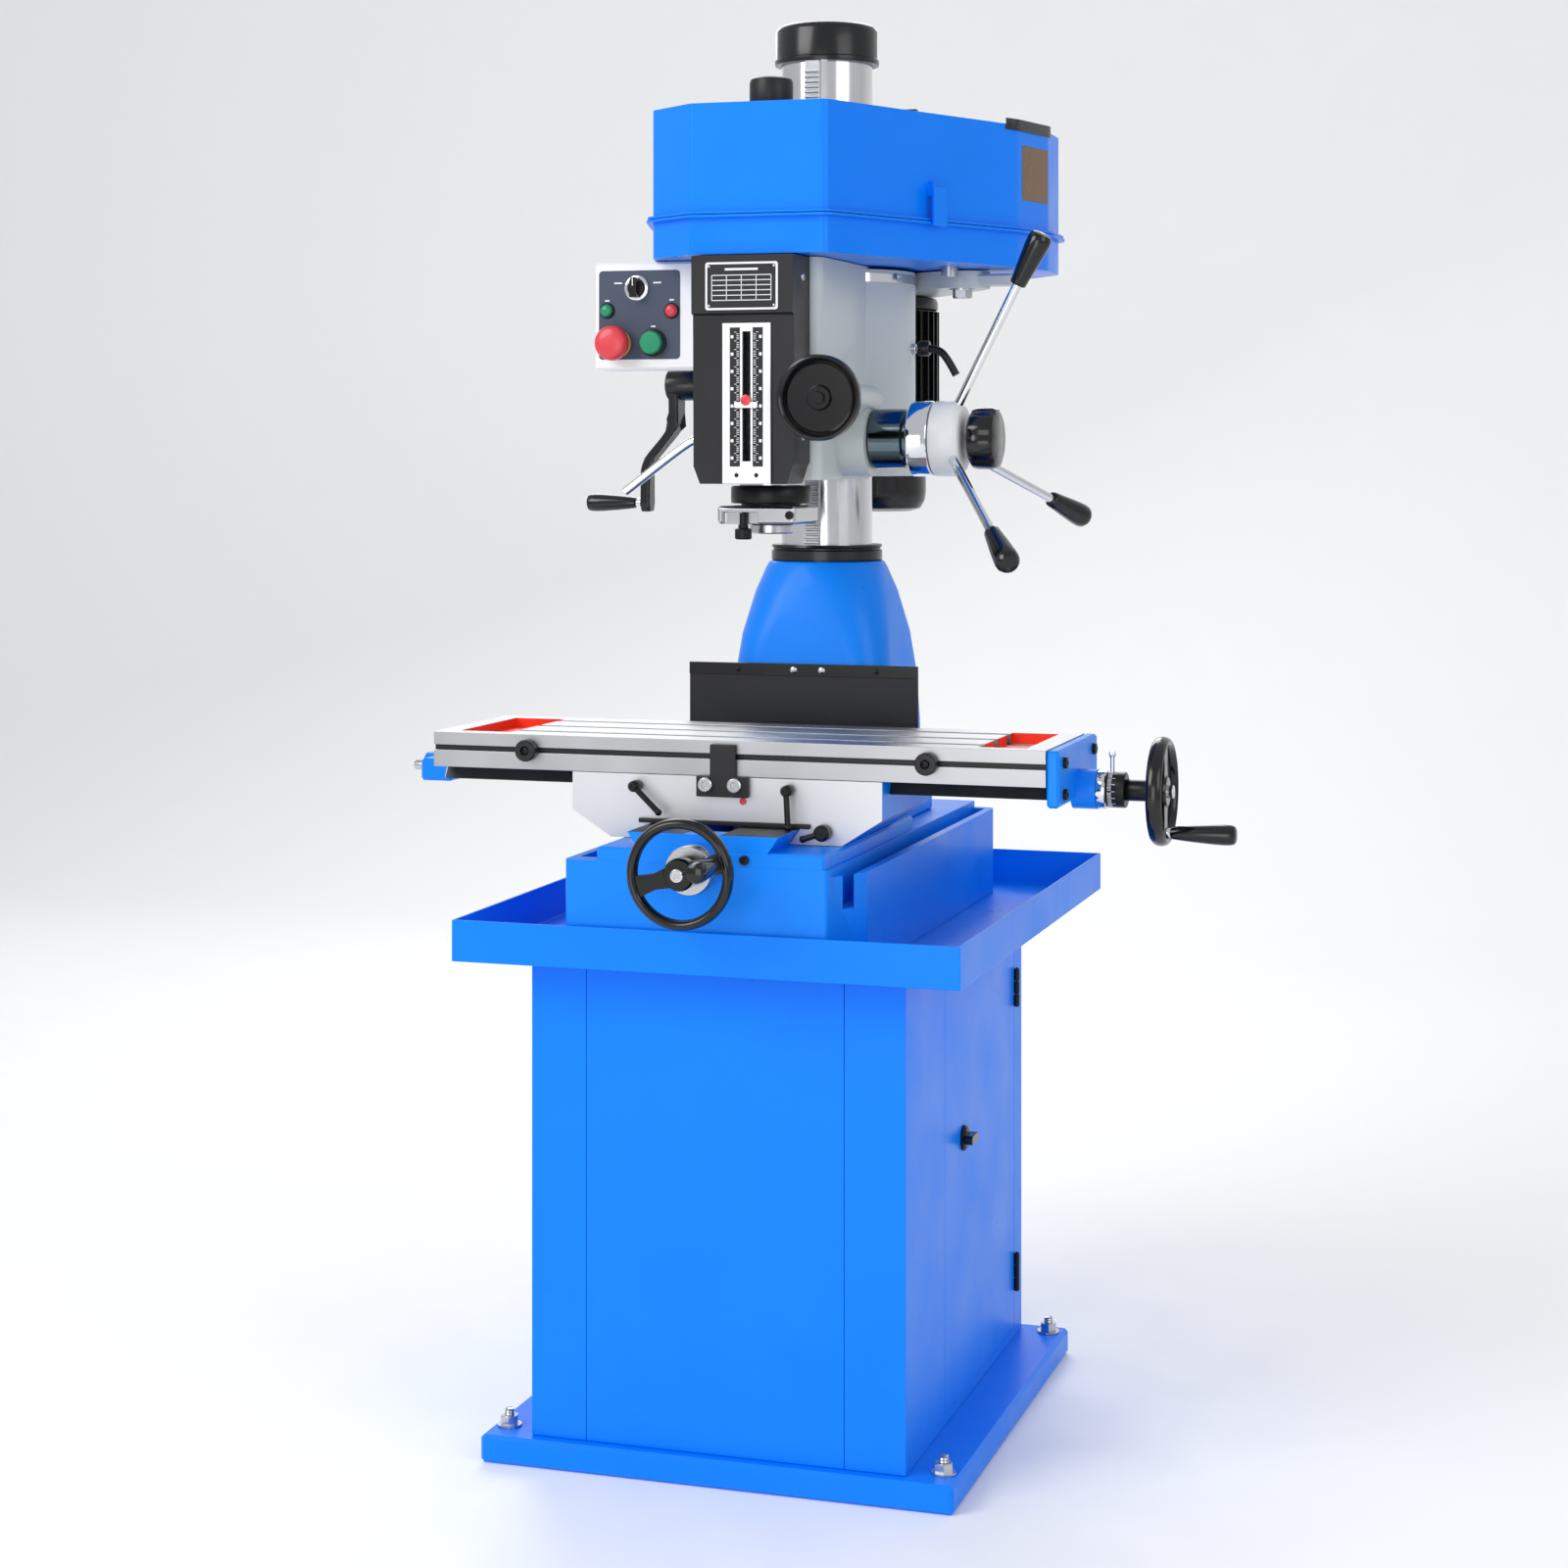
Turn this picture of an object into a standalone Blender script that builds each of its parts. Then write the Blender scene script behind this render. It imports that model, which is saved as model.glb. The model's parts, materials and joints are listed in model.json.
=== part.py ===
"""Round-column milling and drilling machine on a cabinet stand, in metres with +Z up.

The origin is on the floor at the centre of the stand's foot. +X is to the operator's
right and +Y is away from the operator. Every visible object is one piece of the machine.
"""

import math

import bmesh
import bpy
from mathutils import Matrix, Vector

GAP = 0.0005            # clearance between neighbouring pieces
SIDES = 24              # sides of an ordinary round piece
FINE_SIDES = 40         # sides of the column and its bores

# Stand and tray
FOOT_X, FOOT_Y, FOOT_TOP = 0.279, 0.300, 0.032
CABINET_X, CABINET_FRONT, CABINET_BACK, CABINET_TOP = 0.2215, -0.284, 0.282, 0.5786
SHEET = 0.003           # thickness of the folded sheet
PANEL_X = (-0.155, 0.151)
DOOR_Y = (-0.1125, 0.2405)
DOOR_Z = (0.045, 0.5475)
DOOR_LOCK_Y, DOOR_LOCK_Z = -0.025, 0.3455
TRAY_X, TRAY_FRONT, TRAY_BACK, TRAY_TOP = 0.297, -0.3387, 0.4195, 0.6264
ANCHOR_X, ANCHOR_FRONT, ANCHOR_BACK = 0.2585, -0.261, 0.273

# Base casting and its dovetail way, which runs along Y
BASE_X, BASE_FRONT, BASE_BACK, BASE_TOP = (-0.163, 0.174), -0.330, 0.335, 0.700
# Corners of the base seen from above, each with the radius of its rounding
BASE_CORNERS = (
    (BASE_X[0], BASE_FRONT, 0.006), (0.143, BASE_FRONT, 0.006), (BASE_X[1], -0.272, 0.012),
    (BASE_X[1], BASE_BACK, 0.012), (BASE_X[0], BASE_BACK, 0.012),
)
RIGHT_RIM_TOP = 0.692   # the rim of the right gutter is a little lower
PEDESTAL_X, PEDESTAL_TOP = (-0.125, 0.142), 0.7155
GUTTER_Y, GUTTER_FLOOR = (-0.306, 0.322), 0.655
WAY_ROOT, WAY_EDGE, WAY_TOP = 0.076, 0.0885, 0.7335
CROSS_Z = 0.6995        # height of the cross-feed screw

# Column
COLUMN_Y, COLUMN_R, COLUMN_BORE = 0.151, 0.0575, 0.0475
COLLAR_Z = (1.0207, 1.0405)
CAP_Z = (1.6443, 1.6938)
RACK_X, RACK_Y = 0.009, (0.0825, 0.0925)

# Saddle and table
SADDLE_X, SADDLE_FRONT, SADDLE_BACK, SADDLE_TOP = 0.185, -0.250, -0.0405, 0.789
TABLE_X, TABLE_Y, TABLE_Z = (-0.3592, 0.3708), (-0.2506, -0.0405), (0.7895, 0.8302)
TABLE_MID = (TABLE_Y[0] + TABLE_Y[1]) / 2
SCREW_Z = 0.778         # height of the table leadscrew
SLOT_PITCH, SLOT_NECK, SLOT_T, SLOT_DEPTH = 0.063, 0.014, 0.023, 0.019
WHEEL_R = 0.061         # both handwheels
CROSS_WHEEL_Y, TABLE_WHEEL_X = -0.400, 0.480

# Head
SPINDLE_Y, QUILL_R = -0.078, 0.0375
HEAD_Z = (1.1238, 1.3850)
HEAD_CLAMP_R = 0.112
FEED_Y, FEED_Z, PINION_R = -0.0245, 1.1725, 0.0155
FINE_X, FINE_Z = 0.096, 1.2186
CRANK_X, CRANK_Y, CRANK_Z = -0.1877, 0.151, 1.2426
CRANK_REACH = 0.163     # from the crank's axis to the end of its arm
CLAMP_Y, CLAMP_Z = 0.200, 1.288     # stud of the lever that clamps the head
PAN_Z = (1.3860, 1.4320)
COVER_TOP = 1.562
COLUMN_HOLE = 0.0715
IDLER = (0.165, 0.130)
MOTOR = (0.010, 0.352)
BOX_X, BOX_Y, BOX_Z = (-0.220, -0.0757), (-0.090, -0.030), (1.2556, 1.3850)
# Corners of the belt pan seen from above, each with the radius of its rounding
PAN_CORNERS = (
    (-0.066, -0.180, 0.008), (0.098, -0.178, 0.012), (0.147, -0.066, 0.030),
    (0.246, 0.152, 0.060), (0.266, 0.240, 0.050), (0.262, 0.330, 0.060),
    (0.170, 0.442, 0.080), (-0.120, 0.442, 0.080), (-0.200, 0.320, 0.080),
    (-0.200, 0.100, 0.060), (-0.132, -0.127, 0.020),
)

LATCH_SHARE, LATCH_PIVOT_Z = 0.30, 1.471    # along the right wall, and up it

# Colour, roughness and metallic value of each finish
FINISHES = {
    "blue": ((0.0, 0.15, 0.72), 0.35, 0.0),
    "grey": ((0.50, 0.53, 0.54), 0.45, 0.0),
    "black": ((0.012, 0.013, 0.016), 0.45, 0.0),
    "white": ((0.80, 0.80, 0.80), 0.45, 0.0),
    "red": ((0.70, 0.02, 0.02), 0.40, 0.0),
    "green": ((0.0, 0.30, 0.12), 0.40, 0.0),
    "rubber": ((0.02, 0.02, 0.02), 0.85, 0.0),
    "steel": ((0.55, 0.55, 0.55), 0.35, 1.0),
    "chrome": ((0.75, 0.75, 0.75), 0.12, 1.0),
}


# ---------------------------------------------------------------- shapes

def finished_mesh(bm):
    """Turns a bmesh into a mesh whose faces point outwards."""
    bmesh.ops.recalc_face_normals(bm, faces=bm.faces)
    mesh = bpy.data.meshes.new("shape")
    bm.to_mesh(mesh)
    bm.free()
    return mesh


def box(x, y, z, chamfer=0.0):
    """A block between two limits on each axis, with its edges chamfered."""
    bm = bmesh.new()
    bmesh.ops.create_cube(bm, size=1.0)
    size = Vector((x[1] - x[0], y[1] - y[0], z[1] - z[0]))
    middle = Vector((x[0] + x[1], y[0] + y[1], z[0] + z[1])) / 2
    bm.transform(Matrix.Translation(middle) @ Matrix.Diagonal(size).to_4x4())
    if chamfer:
        bmesh.ops.bevel(bm, geom=bm.edges[:], offset=chamfer, segments=1, affect="EDGES")
    return finished_mesh(bm)


def prism(outline, low, high, axis="Z"):
    """An outline of (a, b) points extruded between two heights along an axis.

    The points are (x, y) along Z, (x, z) along Y and (y, z) along X.
    """
    place = {
        "Z": lambda a, b, h: (a, b, h),
        "Y": lambda a, b, h: (a, h, b),
        "X": lambda a, b, h: (h, a, b),
    }[axis]
    bm = bmesh.new()
    rings = [[bm.verts.new(place(a, b, h)) for a, b in outline] for h in (low, high)]
    for i in range(len(outline)):
        j = (i + 1) % len(outline)
        bm.faces.new((rings[0][i], rings[0][j], rings[1][j], rings[1][i]))
    for ring in rings:
        bm.faces.new(ring)
    return finished_mesh(bm)


def turned(profile, at, along=(0, 0, 1), sides=SIDES):
    """A profile of (radius, height) points turned round a line through a point.

    A profile that ends on the axis is solid. Any other is joined end to end as a ring.
    """
    bm = bmesh.new()
    rings = []
    for radius, height in profile:
        count = sides if radius > 0 else 1
        angles = (2 * math.pi * i / sides for i in range(count))
        rings.append([bm.verts.new((radius * math.cos(a), radius * math.sin(a), height))
                      for a in angles])
    pairs = list(zip(rings, rings[1:]))
    if profile[0][0] > 0:
        pairs.append((rings[-1], rings[0]))
    for low, high in pairs:
        for i in range(sides):
            j = (i + 1) % sides
            corners = (low[i % len(low)], low[j % len(low)],
                       high[j % len(high)], high[i % len(high)])
            bm.faces.new(list(dict.fromkeys(corners)))
    turn = Vector((0, 0, 1)).rotation_difference(Vector(along)).to_matrix().to_4x4()
    bm.transform(Matrix.Translation(Vector(at)) @ turn)
    return finished_mesh(bm)


def cylinder(radius, at, length, along=(0, 0, 1), sides=SIDES):
    """A plain cylinder that starts at a point and runs along a direction."""
    return turned([(0, 0), (radius, 0), (radius, length), (0, length)], at, along, sides)


def swept(points, radius, sides=12):
    """A round bar along a few points, mitred where it bends."""
    points = [Vector(p) for p in points]
    bm = bmesh.new()
    rings = []
    side = None
    for i, point in enumerate(points):
        before = (point - points[i - 1]).normalized() if i else None
        after = (points[i + 1] - point).normalized() if i + 1 < len(points) else None
        tangent = ((before or after) + (after or before)).normalized()
        stretch = 1 / max(0.5, tangent.dot(after or before))
        if side is None:
            side = tangent.orthogonal().normalized()
        side = (side - tangent * side.dot(tangent)).normalized()
        other = tangent.cross(side)
        bend = ((after or before) - (before or after))
        ring = []
        for k in range(sides):
            angle = 2 * math.pi * k / sides
            offset = (side * math.cos(angle) + other * math.sin(angle)) * radius
            if bend.length > 1e-6:
                inward = bend.normalized()
                offset += inward * offset.dot(inward) * (stretch - 1)
            ring.append(bm.verts.new(point + offset))
        rings.append(ring)
    for low, high in zip(rings, rings[1:]):
        for k in range(sides):
            j = (k + 1) % sides
            bm.faces.new((low[k], low[j], high[j], high[k]))
    bm.faces.new(rings[0])
    bm.faces.new(rings[-1])
    return finished_mesh(bm)


def arc(centre, radius, start, end, steps):
    """Points on a circle between two angles in degrees."""
    angles = [math.radians(start + (end - start) * i / steps) for i in range(steps + 1)]
    return [(centre[0] + radius * math.cos(a), centre[1] + radius * math.sin(a))
            for a in angles]


def rounded(corners, steps=4):
    """An outline from (a, b, radius) corners, each rounded by its radius."""
    outline = []
    for i, (a, b, radius) in enumerate(corners):
        corner = Vector((a, b))
        before = (Vector(corners[i - 1][:2]) - corner).normalized()
        after = (Vector(corners[(i + 1) % len(corners)][:2]) - corner).normalized()
        half = before.angle(after) / 2
        centre = corner + (before + after).normalized() * radius / math.sin(half)
        first = corner + before * radius / math.tan(half) - centre
        last = corner + after * radius / math.tan(half) - centre
        start = math.atan2(first.y, first.x)
        turn = math.remainder(math.atan2(last.y, last.x) - start, 2 * math.pi)
        outline += arc(centre, radius, math.degrees(start), math.degrees(start + turn), steps)
    return outline


def inset(outline, distance):
    """An outline moved inwards by a distance, or outwards by a negative one."""
    area = sum(a[0] * b[1] - b[0] * a[1] for a, b in zip(outline, outline[1:] + outline[:1]))
    sign = math.copysign(1, area)
    moved = []
    for i, point in enumerate(outline):
        before = (Vector(point) - Vector(outline[i - 1])).normalized()
        after = (Vector(outline[(i + 1) % len(outline)]) - Vector(point)).normalized()
        normal = Vector((-(before.y + after.y), before.x + after.x)).normalized()
        reach = distance / max(0.5, normal.dot(Vector((-after.y, after.x))))
        moved.append((point[0] + sign * normal.x * reach, point[1] + sign * normal.y * reach))
    return moved


def lofted(sections, centre, steps=5):
    """Rounded rectangles of (half x, half y, corner radius, z) joined from bottom to top."""
    bm = bmesh.new()
    rings = []
    for half_x, half_y, radius, z in sections:
        outline = []
        for sx, sy, start in ((1, 1, 0), (-1, 1, 90), (-1, -1, 180), (1, -1, 270)):
            corner = (centre[0] + sx * (half_x - radius), centre[1] + sy * (half_y - radius))
            outline += arc(corner, radius, start, start + 90, steps)
        rings.append([bm.verts.new((x, y, z)) for x, y in outline])
    for low, high in zip(rings, rings[1:]):
        for i in range(len(low)):
            j = (i + 1) % len(low)
            bm.faces.new((low[i], low[j], high[j], high[i]))
    bm.faces.new(rings[0])
    bm.faces.new(rings[-1])
    return finished_mesh(bm)


# ---------------------------------------------------------------- objects

def clear_scene():
    """Removes every object of the scene that is open."""
    for obj in list(bpy.data.objects):
        bpy.data.objects.remove(obj, do_unlink=True)


def finish(name):
    """The material of a finish, made the first time it is asked for."""
    material = bpy.data.materials.get(name)
    if material is None:
        colour, roughness, metallic = FINISHES[name]
        material = bpy.data.materials.new(name)
        material.use_nodes = True
        shader = material.node_tree.nodes["Principled BSDF"]
        shader.inputs["Base Color"].default_value = (*colour, 1)
        shader.inputs["Roughness"].default_value = roughness
        shader.inputs["Metallic"].default_value = metallic
        material.diffuse_color = (*colour, 1)
    return material


def add_tool(obj, mesh, operation):
    """Adds a hidden shape to an object, or cuts it away, by a Boolean modifier."""
    tool = bpy.data.objects.new(f"{obj.name}_{operation.lower()}", mesh)
    bpy.context.collection.objects.link(tool)
    tool.hide_render = True
    tool.display_type = "WIRE"
    modifier = obj.modifiers.new(tool.name, "BOOLEAN")
    modifier.operation = operation
    modifier.solver = "MANIFOLD"
    modifier.object = tool


def part(name, finish_name, shape, join=(), cut=(), pivot=(0, 0, 0)):
    """One piece of the machine: a shape, what is joined to it, and what is cut from it.

    Shapes are drawn in the machine's own frame. The pivot is a point on the joint's axis,
    and becomes the object's origin.
    """
    mesh = shape
    mesh.name = name
    mesh.transform(Matrix.Translation(-Vector(pivot)))
    mesh.materials.append(finish(finish_name))
    mesh.shade_smooth()
    mesh.set_sharp_from_angle(angle=math.radians(35))
    obj = bpy.data.objects.new(name, mesh)
    obj.location = pivot
    bpy.context.collection.objects.link(obj)
    for other in join:
        add_tool(obj, other, "UNION")
    for other in cut:
        add_tool(obj, other, "DIFFERENCE")
    return obj


# ---------------------------------------------------------------- stand

def build_stand():
    """Foot, cabinet, front panel, door with its lock, and the chip tray."""
    anchors = [(x, y) for x in (-ANCHOR_X, ANCHOR_X) for y in (ANCHOR_FRONT, ANCHOR_BACK)]
    part("stand_base", "blue",
         box((-FOOT_X, FOOT_X), (-FOOT_Y, FOOT_Y), (0, FOOT_TOP), 0.004),
         cut=[box((-0.206, 0.206), (-0.268, 0.266), (0.005, 0.05))]
         + [cylinder(0.007, (x, y, -0.01), 0.06, sides=12) for x, y in anchors])
    part("stand_cabinet", "blue",
         box((-CABINET_X, CABINET_X), (CABINET_FRONT, CABINET_BACK),
             (FOOT_TOP + GAP, CABINET_TOP)),
         cut=[box((-CABINET_X + SHEET, CABINET_X - SHEET),
                  (CABINET_FRONT + SHEET, CABINET_BACK - SHEET), (0, 1)),
              box(PANEL_X, (-0.4, CABINET_FRONT + SHEET + 0.001), (0, 1)),
              box((0.2, 0.3), DOOR_Y, DOOR_Z)])
    part("stand_front_panel", "blue",
         box((PANEL_X[0] + GAP, PANEL_X[1] - GAP), (CABINET_FRONT, CABINET_FRONT + SHEET),
             (FOOT_TOP + GAP, CABINET_TOP)))
    hinge = (CABINET_X, DOOR_Y[1] - GAP, DOOR_Z[0])
    part("stand_door", "blue",
         box((CABINET_X - SHEET, CABINET_X), (DOOR_Y[0] + GAP, DOOR_Y[1] - 2 * GAP),
             (DOOR_Z[0] + GAP, DOOR_Z[1] - GAP)),
         cut=[cylinder(0.0065, (0.2, DOOR_LOCK_Y, DOOR_LOCK_Z), 0.05, (1, 0, 0), 16)],
         pivot=hinge)
    lock = (CABINET_X, DOOR_LOCK_Y, DOOR_LOCK_Z)
    part("door_lock", "black",
         turned([(0, -0.014), (0.006, -0.014), (0.006, 0.0005), (0.015, 0.0005),
                 (0.013, 0.006), (0, 0.006)], lock, (1, 0, 0), 16),
         join=[box((0.2270, 0.2370), (DOOR_LOCK_Y - 0.016, DOOR_LOCK_Y + 0.016),
                   (0.3400, 0.3510), 0.002),
               box((0.2090, 0.2120), (DOOR_LOCK_Y - 0.007, DOOR_LOCK_Y + 0.007),
                   (DOOR_LOCK_Z, DOOR_LOCK_Z + 0.0935))],
         pivot=lock)
    part("chip_tray", "blue",
         box((-TRAY_X, TRAY_X), (TRAY_FRONT, TRAY_BACK), (CABINET_TOP + GAP, TRAY_TOP)),
         cut=[box((-TRAY_X + SHEET, TRAY_X - SHEET),
                  (TRAY_FRONT + SHEET, TRAY_BACK - SHEET), (CABINET_TOP + 0.004, 1))])


def build_base():
    """Base casting with its gutters and dovetail way, column foot, column and guard."""
    floor = CABINET_TOP + 0.0045
    gutters = ((-0.153, PEDESTAL_X[0] - 0.006), (PEDESTAL_X[1] + 0.0045, 0.164))
    way = [(-WAY_ROOT, 0.710), (-WAY_ROOT, PEDESTAL_TOP), (-WAY_EDGE, WAY_TOP),
           (WAY_EDGE, WAY_TOP), (WAY_ROOT, PEDESTAL_TOP), (WAY_ROOT, 0.710)]
    part("machine_base", "blue",
         prism(rounded(BASE_CORNERS), floor, BASE_TOP),
         join=[box(PEDESTAL_X, (BASE_FRONT + 0.0005, 0.044), (0.690, PEDESTAL_TOP), 0.003),
               prism(way, BASE_FRONT + 0.002, 0.043, "Y")],
         cut=[box(gutter, GUTTER_Y, (GUTTER_FLOOR, 0.720)) for gutter in gutters]
         + [box((gutters[1][0], 0.200), (-0.400, 0.400), (RIGHT_RIM_TOP, 0.720)),
            box((-0.021, 0.021), (-0.298, 0.022), (0.672, 0.760)),
            cylinder(0.0105, (0, -0.360, CROSS_Z), 0.080, (0, 1, 0)),
            box((-0.148, 0.148), (-0.314, 0.320), (0.5, 0.645))])
    part("column_base", "blue",
         lofted([(0.115, 0.100, 0.018, 0.7003), (0.115, 0.100, 0.018, 0.722),
                 (0.103, 0.099, 0.022, 0.727), (0.102, 0.099, 0.030, 0.820),
                 (0.100, 0.098, 0.040, 0.880), (0.095, 0.094, 0.050, 0.930),
                 (0.084, 0.084, 0.060, 0.982), (0.0745, 0.0745, 0.066, 1.012),
                 (0.0716, 0.0716, 0.070, COLLAR_Z[0] - GAP)], (0, COLUMN_Y)),
         cut=[cylinder(COLUMN_R + GAP, (0, COLUMN_Y, 0.780), 0.3, sides=FINE_SIDES)])
    part("column", "chrome",
         turned([(COLUMN_BORE, 0.7805), (COLUMN_R, 0.7805), (COLUMN_R, 1.690),
                 (COLUMN_BORE, 1.690)], (0, COLUMN_Y, 0), sides=FINE_SIDES))
    part("column_collar", "black",
         turned([(COLUMN_R + GAP, COLLAR_Z[0]), (0.070, COLLAR_Z[0]),
                 (0.070, COLLAR_Z[1]), (COLUMN_R + GAP, COLLAR_Z[1])],
                (0, COLUMN_Y, 0), sides=FINE_SIDES))
    part("column_cap", "black",
         turned([(COLUMN_R + GAP, CAP_Z[0]), (0.066, CAP_Z[0]), (0.066, CAP_Z[1] - 0.004),
                 (0.063, CAP_Z[1]), (0.020, CAP_Z[1]), (0.020, 1.6905),
                 (COLUMN_R + GAP, 1.6905)], (0, COLUMN_Y, 0), sides=FINE_SIDES))
    part("column_rack", "steel",
         box((-RACK_X, RACK_X), RACK_Y, (COLLAR_Z[1] + GAP, CAP_Z[0] - GAP)),
         pivot=(0, COLUMN_Y, COLLAR_Z[1]))
    part("chip_guard", "black",
         box((-0.147, 0.147), (0.0465, 0.0485), (0.742, 0.896)),
         join=[box((-0.147, 0.147), (0.0445, 0.0475), (0.880, 0.896), 0.001)])


# ---------------------------------------------------------------- saddle and table

def handwheel(at, along, across, handle_angle):
    """Rim, hub and two wide spokes of a handwheel, as a shape and what joins it.

    The spokes lie on the line at handle_angle, measured from the across direction.
    """
    along, across = Vector(along), Vector(across)
    up = along.cross(across)
    rim = turned([(WHEEL_R - 0.011, -0.008), (WHEEL_R - 0.003, -0.009), (WHEEL_R, -0.004),
                  (WHEEL_R, 0.004), (WHEEL_R - 0.003, 0.009), (WHEEL_R - 0.011, 0.008)],
                 at, along, 32)
    hub = cylinder(0.017, Vector(at) - along * 0.012, 0.020, along)
    spoke = box((-WHEEL_R + 0.006, WHEEL_R - 0.006), (-0.011, 0.011), (-0.0045, 0.0045))
    angle = math.radians(handle_angle)
    direction = across * math.cos(angle) + up * math.sin(angle)
    axes = Matrix((direction, along.cross(direction), along)).transposed().to_4x4()
    spoke.transform(Matrix.Translation(Vector(at)) @ axes)
    return rim, [hub, spoke], direction


def grip(at, along, length, radius):
    """Profile of a turned handle that swells towards its free end."""
    profile = [(0, 0), (radius * 0.62, 0), (radius * 0.70, length * 0.10),
               (radius * 0.88, length * 0.45), (radius, length * 0.80),
               (radius * 0.94, length * 0.95), (radius * 0.7, length), (0, length)]
    return turned(profile, at, along, 16)


def build_saddle():
    """Saddle between the base way and the table, its stop bracket, locks and screw."""
    body = [(-SADDLE_X, SADDLE_TOP), (-SADDLE_X, 0.746), (-0.138, 0.716), (-0.0768, 0.716),
            (-0.0897, 0.7345), (0.0897, 0.7345), (0.0768, 0.716), (0.138, 0.716),
            (SADDLE_X, 0.746), (SADDLE_X, SADDLE_TOP)]
    slot = [(-0.2215, 0.7715), (TABLE_MID - 0.0115, 0.7715), (TABLE_MID - 0.0115, 0.7680),
            (TABLE_MID + 0.0115, 0.7680), (TABLE_MID + 0.0115, 0.7715), (-0.0735, 0.7715),
            (-0.0835, 0.7900), (-0.0835, 0.800), (-0.2115, 0.800), (-0.2115, 0.7900)]
    saddle = part("saddle", "grey", prism(body, SADDLE_FRONT, SADDLE_BACK, "Y"),
                  cut=[prism(slot, -0.2, 0.2, "X")])
    add_tool(saddle, box((-0.020, 0.020), (TABLE_MID - 0.0105, TABLE_MID + 0.0105),
                         (0.765, 0.7875)), "UNION")
    add_tool(saddle, box((-0.017, 0.017), (-0.170, -0.130), (0.684, 0.740)), "UNION")
    add_tool(saddle, cylinder(0.0085, (-0.1, TABLE_MID, SCREW_Z), 0.2, (1, 0, 0)),
             "DIFFERENCE")
    add_tool(saddle, cylinder(0.0095, (0, -0.2, CROSS_Z), 0.1, (0, 1, 0)), "DIFFERENCE")

    front = SADDLE_FRONT - GAP
    foot = [(-0.032, 0.7666), (0.030, 0.7666), (0.030, 0.790), (0.0150, 0.790),
            (0.0150, 0.826), (-0.0157, 0.826), (-0.0157, 0.790), (-0.032, 0.790)]
    part("saddle_stop_bracket", "black", prism(foot, front - 0.007, front - 0.001, "Y"))
    for side, pivot, tip in (("left", (-0.1045, 0.7763), (-0.0735, 0.7483)),
                             ("right", (0.0775, 0.7772), (0.0806, 0.7366))):
        at = (pivot[0], front, pivot[1])
        part(f"table_lock_lever_{side}", "black",
             cylinder(0.0065, at, 0.020, (0, -1, 0), 16),
             join=[swept([(pivot[0], front - 0.015, pivot[1]),
                          (tip[0], front - 0.019, tip[1])], 0.0038, 10)],
             pivot=at)
    at = (0.118, front, 0.7310)
    part("saddle_lock_lever", "black", cylinder(0.0095, at, 0.016, (0, -1, 0), 16),
         join=[swept([(0.118, front - 0.010, 0.7310), (0.0970, front - 0.014, 0.7240)],
                     0.0045, 10)], pivot=at)

    at = (0, CROSS_WHEEL_Y, CROSS_Z)
    part("cross_feed_screw", "steel",
         turned([(0, -0.0130), (0.0075, -0.0130), (0.0075, 0.0240), (0.0275, 0.0240),
                 (0.0275, 0.0540), (0.0240, 0.0660), (0.0090, 0.0690), (0.0090, 0.4100),
                 (0, 0.4100)], at, (0, 1, 0)), pivot=at)
    rim, joined, direction = handwheel(at, (0, -1, 0), (1, 0, 0), -17)
    part("cross_feed_handwheel", "black", rim, join=joined,
         cut=[cylinder(0.0080, (0, -0.35, CROSS_Z), 0.1, (0, -1, 0), 16)], pivot=at)
    handle = Vector(at) + direction * 0.046
    part("cross_feed_grip", "black", grip(handle + Vector((0, -0.0105, 0)), (0, -1, 0),
                                          0.068, 0.0115), pivot=handle)


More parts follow.
